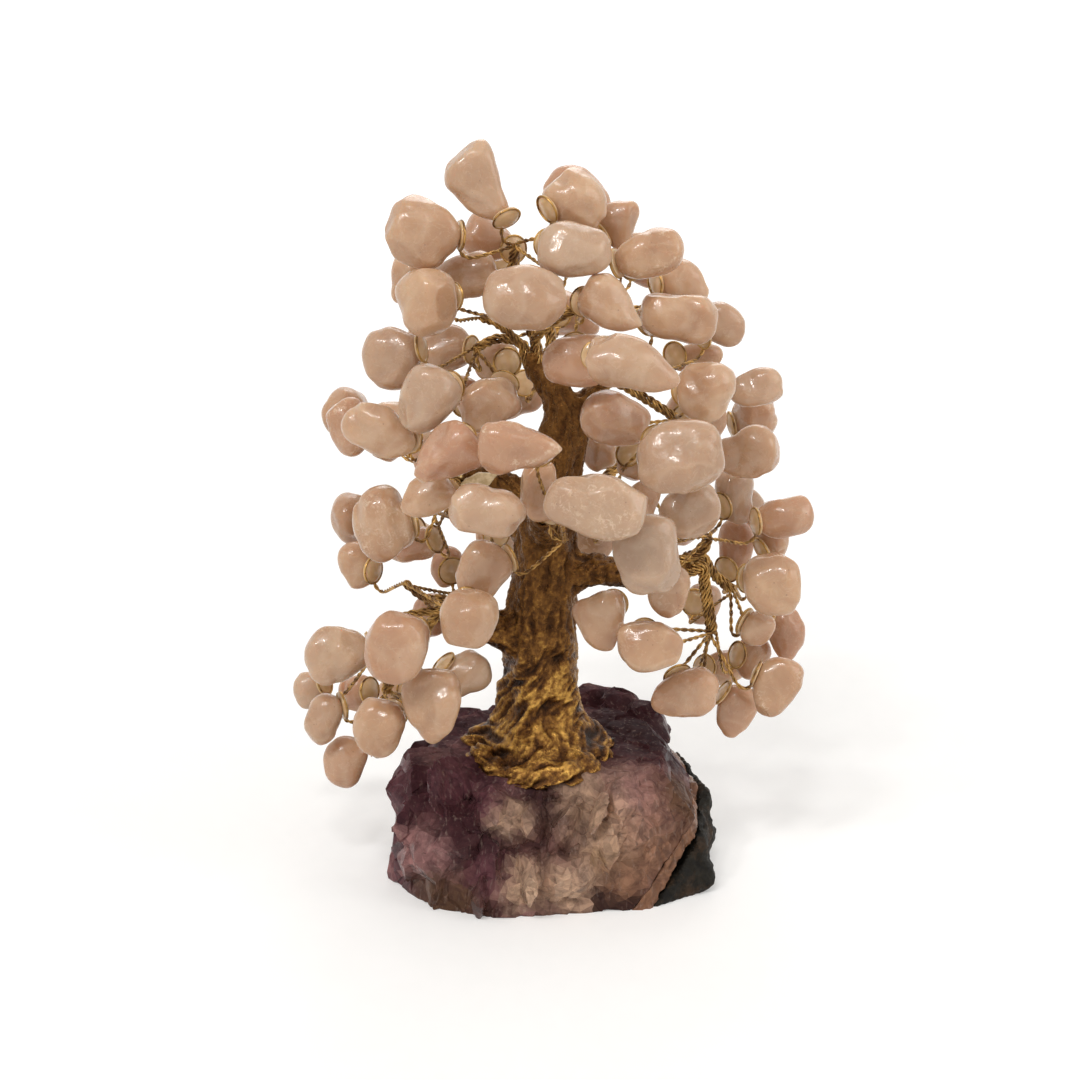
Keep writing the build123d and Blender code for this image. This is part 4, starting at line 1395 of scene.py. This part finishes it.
@dataclass
class Studio:
    """A pale floor, plain soft lamps and the camera of the photograph."""

    floor_reach: float = 6.0
    sensor: float = 36.0
    world_level: float = 0.55
    floor_glow: tuple[float, float] = (0.25, 0.6)
    glow_reach: tuple[float, float] = (0.3, 1.6)
    sky: Colour = (1.0, 0.985, 0.97, 1.0)
    lamps: tuple[tuple[str, tuple[float, float, float], float, float], ...] = (
        ("key_lamp_left", (-0.75, -0.8, 1.2), 0.2, 3.4),
        ("key_lamp_middle", (-0.45, -0.85, 1.3), 0.2, 3.4),
        ("key_lamp_right", (-0.15, -0.9, 1.35), 0.2, 3.4),
        ("side_lamp", (0.95, -0.35, 0.7), 0.8, 3.0),
        ("back_lamp", (0.1, 1.0, 0.9), 0.8, 4.0),
    )

    def floor(self) -> None:
        """Lay the floor, which the camera sees pale and which keeps the tree's shadow."""
        floor = modelled(bpy.ops.mesh.primitive_plane_add, size=self.floor_reach)
        floor.name = "floor"
        bench = NodeBench("floor_paper")
        grain = bench.noise(4 * MM, 2.0)
        colour = bench.ramp(grain, (0.3, paint(228, 227, 225)), (0.7, paint(231, 230, 228)))
        away = bench.add("ShaderNodeVectorMath", {0: bench.place}, operation="LENGTH").outputs["Value"]
        level = bench.spread(away, *self.glow_reach, *self.floor_glow)
        glow = bench.times(seen_rays(bench.material.node_tree), level)
        white = paint(255, 254, 252)
        floor.data.materials.append(
            bench.shade(Base_Color=colour, Roughness=0.9, Emission_Color=white, Emission_Strength=glow)
        )

    def light(self) -> None:
        """Set up the lamps and the sky."""
        for name, place, size, power in self.lamps:
            lamp = bpy.data.lights.new(name, "AREA")
            lamp.shape = "DISK"
            lamp.size = size
            lamp.energy = power
            stand = bpy.data.objects.new(name, lamp)
            stand.location = place
            stand.rotation_euler = (Vector(PHOTO.aim) - Vector(place)).to_track_quat("-Z", "Y").to_euler()
            bpy.context.scene.collection.objects.link(stand)
        world = bpy.data.worlds.new("pale_room")
        world.use_nodes = True
        nodes, links = world.node_tree.nodes, world.node_tree.links
        sky = nodes["Background"]
        sky.inputs["Color"].default_value = self.sky
        level = nodes.new("ShaderNodeMapRange")
        level.inputs["To Min"].default_value = self.world_level
        links.new(seen_rays(world.node_tree), level.inputs["Value"])
        links.new(level.outputs["Result"], sky.inputs["Strength"])
        bpy.context.scene.world = world

    def camera(self) -> None:
        """Stand the camera where the photographer stood."""
        eye = bpy.data.cameras.new("camera")
        eye.sensor_width = self.sensor
        eye.lens = PHOTO.focal_px / PHOTO.side_px * self.sensor
        eye.clip_start = 0.01
        stand = bpy.data.objects.new("camera", eye)
        stand.location = PHOTO.viewpoint
        stand.rotation_euler = (math.radians(90 - PHOTO.elevation), 0, 0)
        bpy.context.scene.collection.objects.link(stand)
        bpy.context.scene.camera = stand
        bpy.context.scene.view_settings.view_transform = "Standard"

    def build(self) -> None:
        """Set up the whole studio."""
        self.floor()
        self.light()
        self.camera()


@dataclass
class Tree:
    """The whole ornament, piece by piece."""

    quartz: RoseQuartzFinish = field(default_factory=RoseQuartzFinish)
    brass: BrassWireFinish = field(default_factory=BrassWireFinish)
    resin: ResinFinish = field(default_factory=ResinFinish)

    def sprays(self) -> Iterable[bpy.types.Object]:
        """Make the pebbles, the wires and the resin of every spray."""
        quartz, brass, resin = self.quartz.material(), self.brass.material(), self.resin.material()
        for seed, (name, route) in enumerate(SPRAYS.items()):
            hub = PHOTO.place(*route.route_px[-1])
            seats = read_seats(name, hub)
            yield TumbledPebbles(name, seats, seed).build(quartz)
            yield TwistedWires(name, route, seats).build(brass)
            yield ResinLenses(name, seats).build(resin)

    def foot(self) -> Iterable[bpy.types.Object]:
        """Make the trunk and the cluster."""
        amethyst, basalt = AmethystFinish().material(), BasaltFinish().material()
        yield GiltTrunk().build(GiltPuttyFinish().material())
        yield AmethystCluster().build(amethyst)
        yield RoughRock("quartz_band", "quartz_rim", "white_quartz").build(amethyst)
        yield RoughRock("basalt_rind", "rock_rind", "basalt", swell=1.8 * MM).build(basalt)
        flake = RoughRock("pale_flake", "flake", "pale_stone", 0.25 * MM, 0.3 * MM, 0.1 * MM)
        yield flake.build(FlakeFinish().material())

    def build(self) -> None:
        """Make every piece, and dress the core that stays as it is."""
        pieces = [*self.foot(), *self.sprays()]
        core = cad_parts["trunk_core_wires"]
        core.data.materials.clear()
        core.data.materials.append(bpy.data.materials["brass_wire"])
        LOG.info("%d pieces stand in the scene", len(pieces))


def main() -> None:
    """Build the tree and the studio."""
    logging.basicConfig(level=logging.INFO, format="%(message)s")
    noise.seed_set(NOISE_SEED)
    bpy.ops.object.select_all(action="DESELECT")
    Tree().build()
    Studio().build()


if __name__ == "__main__":
    main()
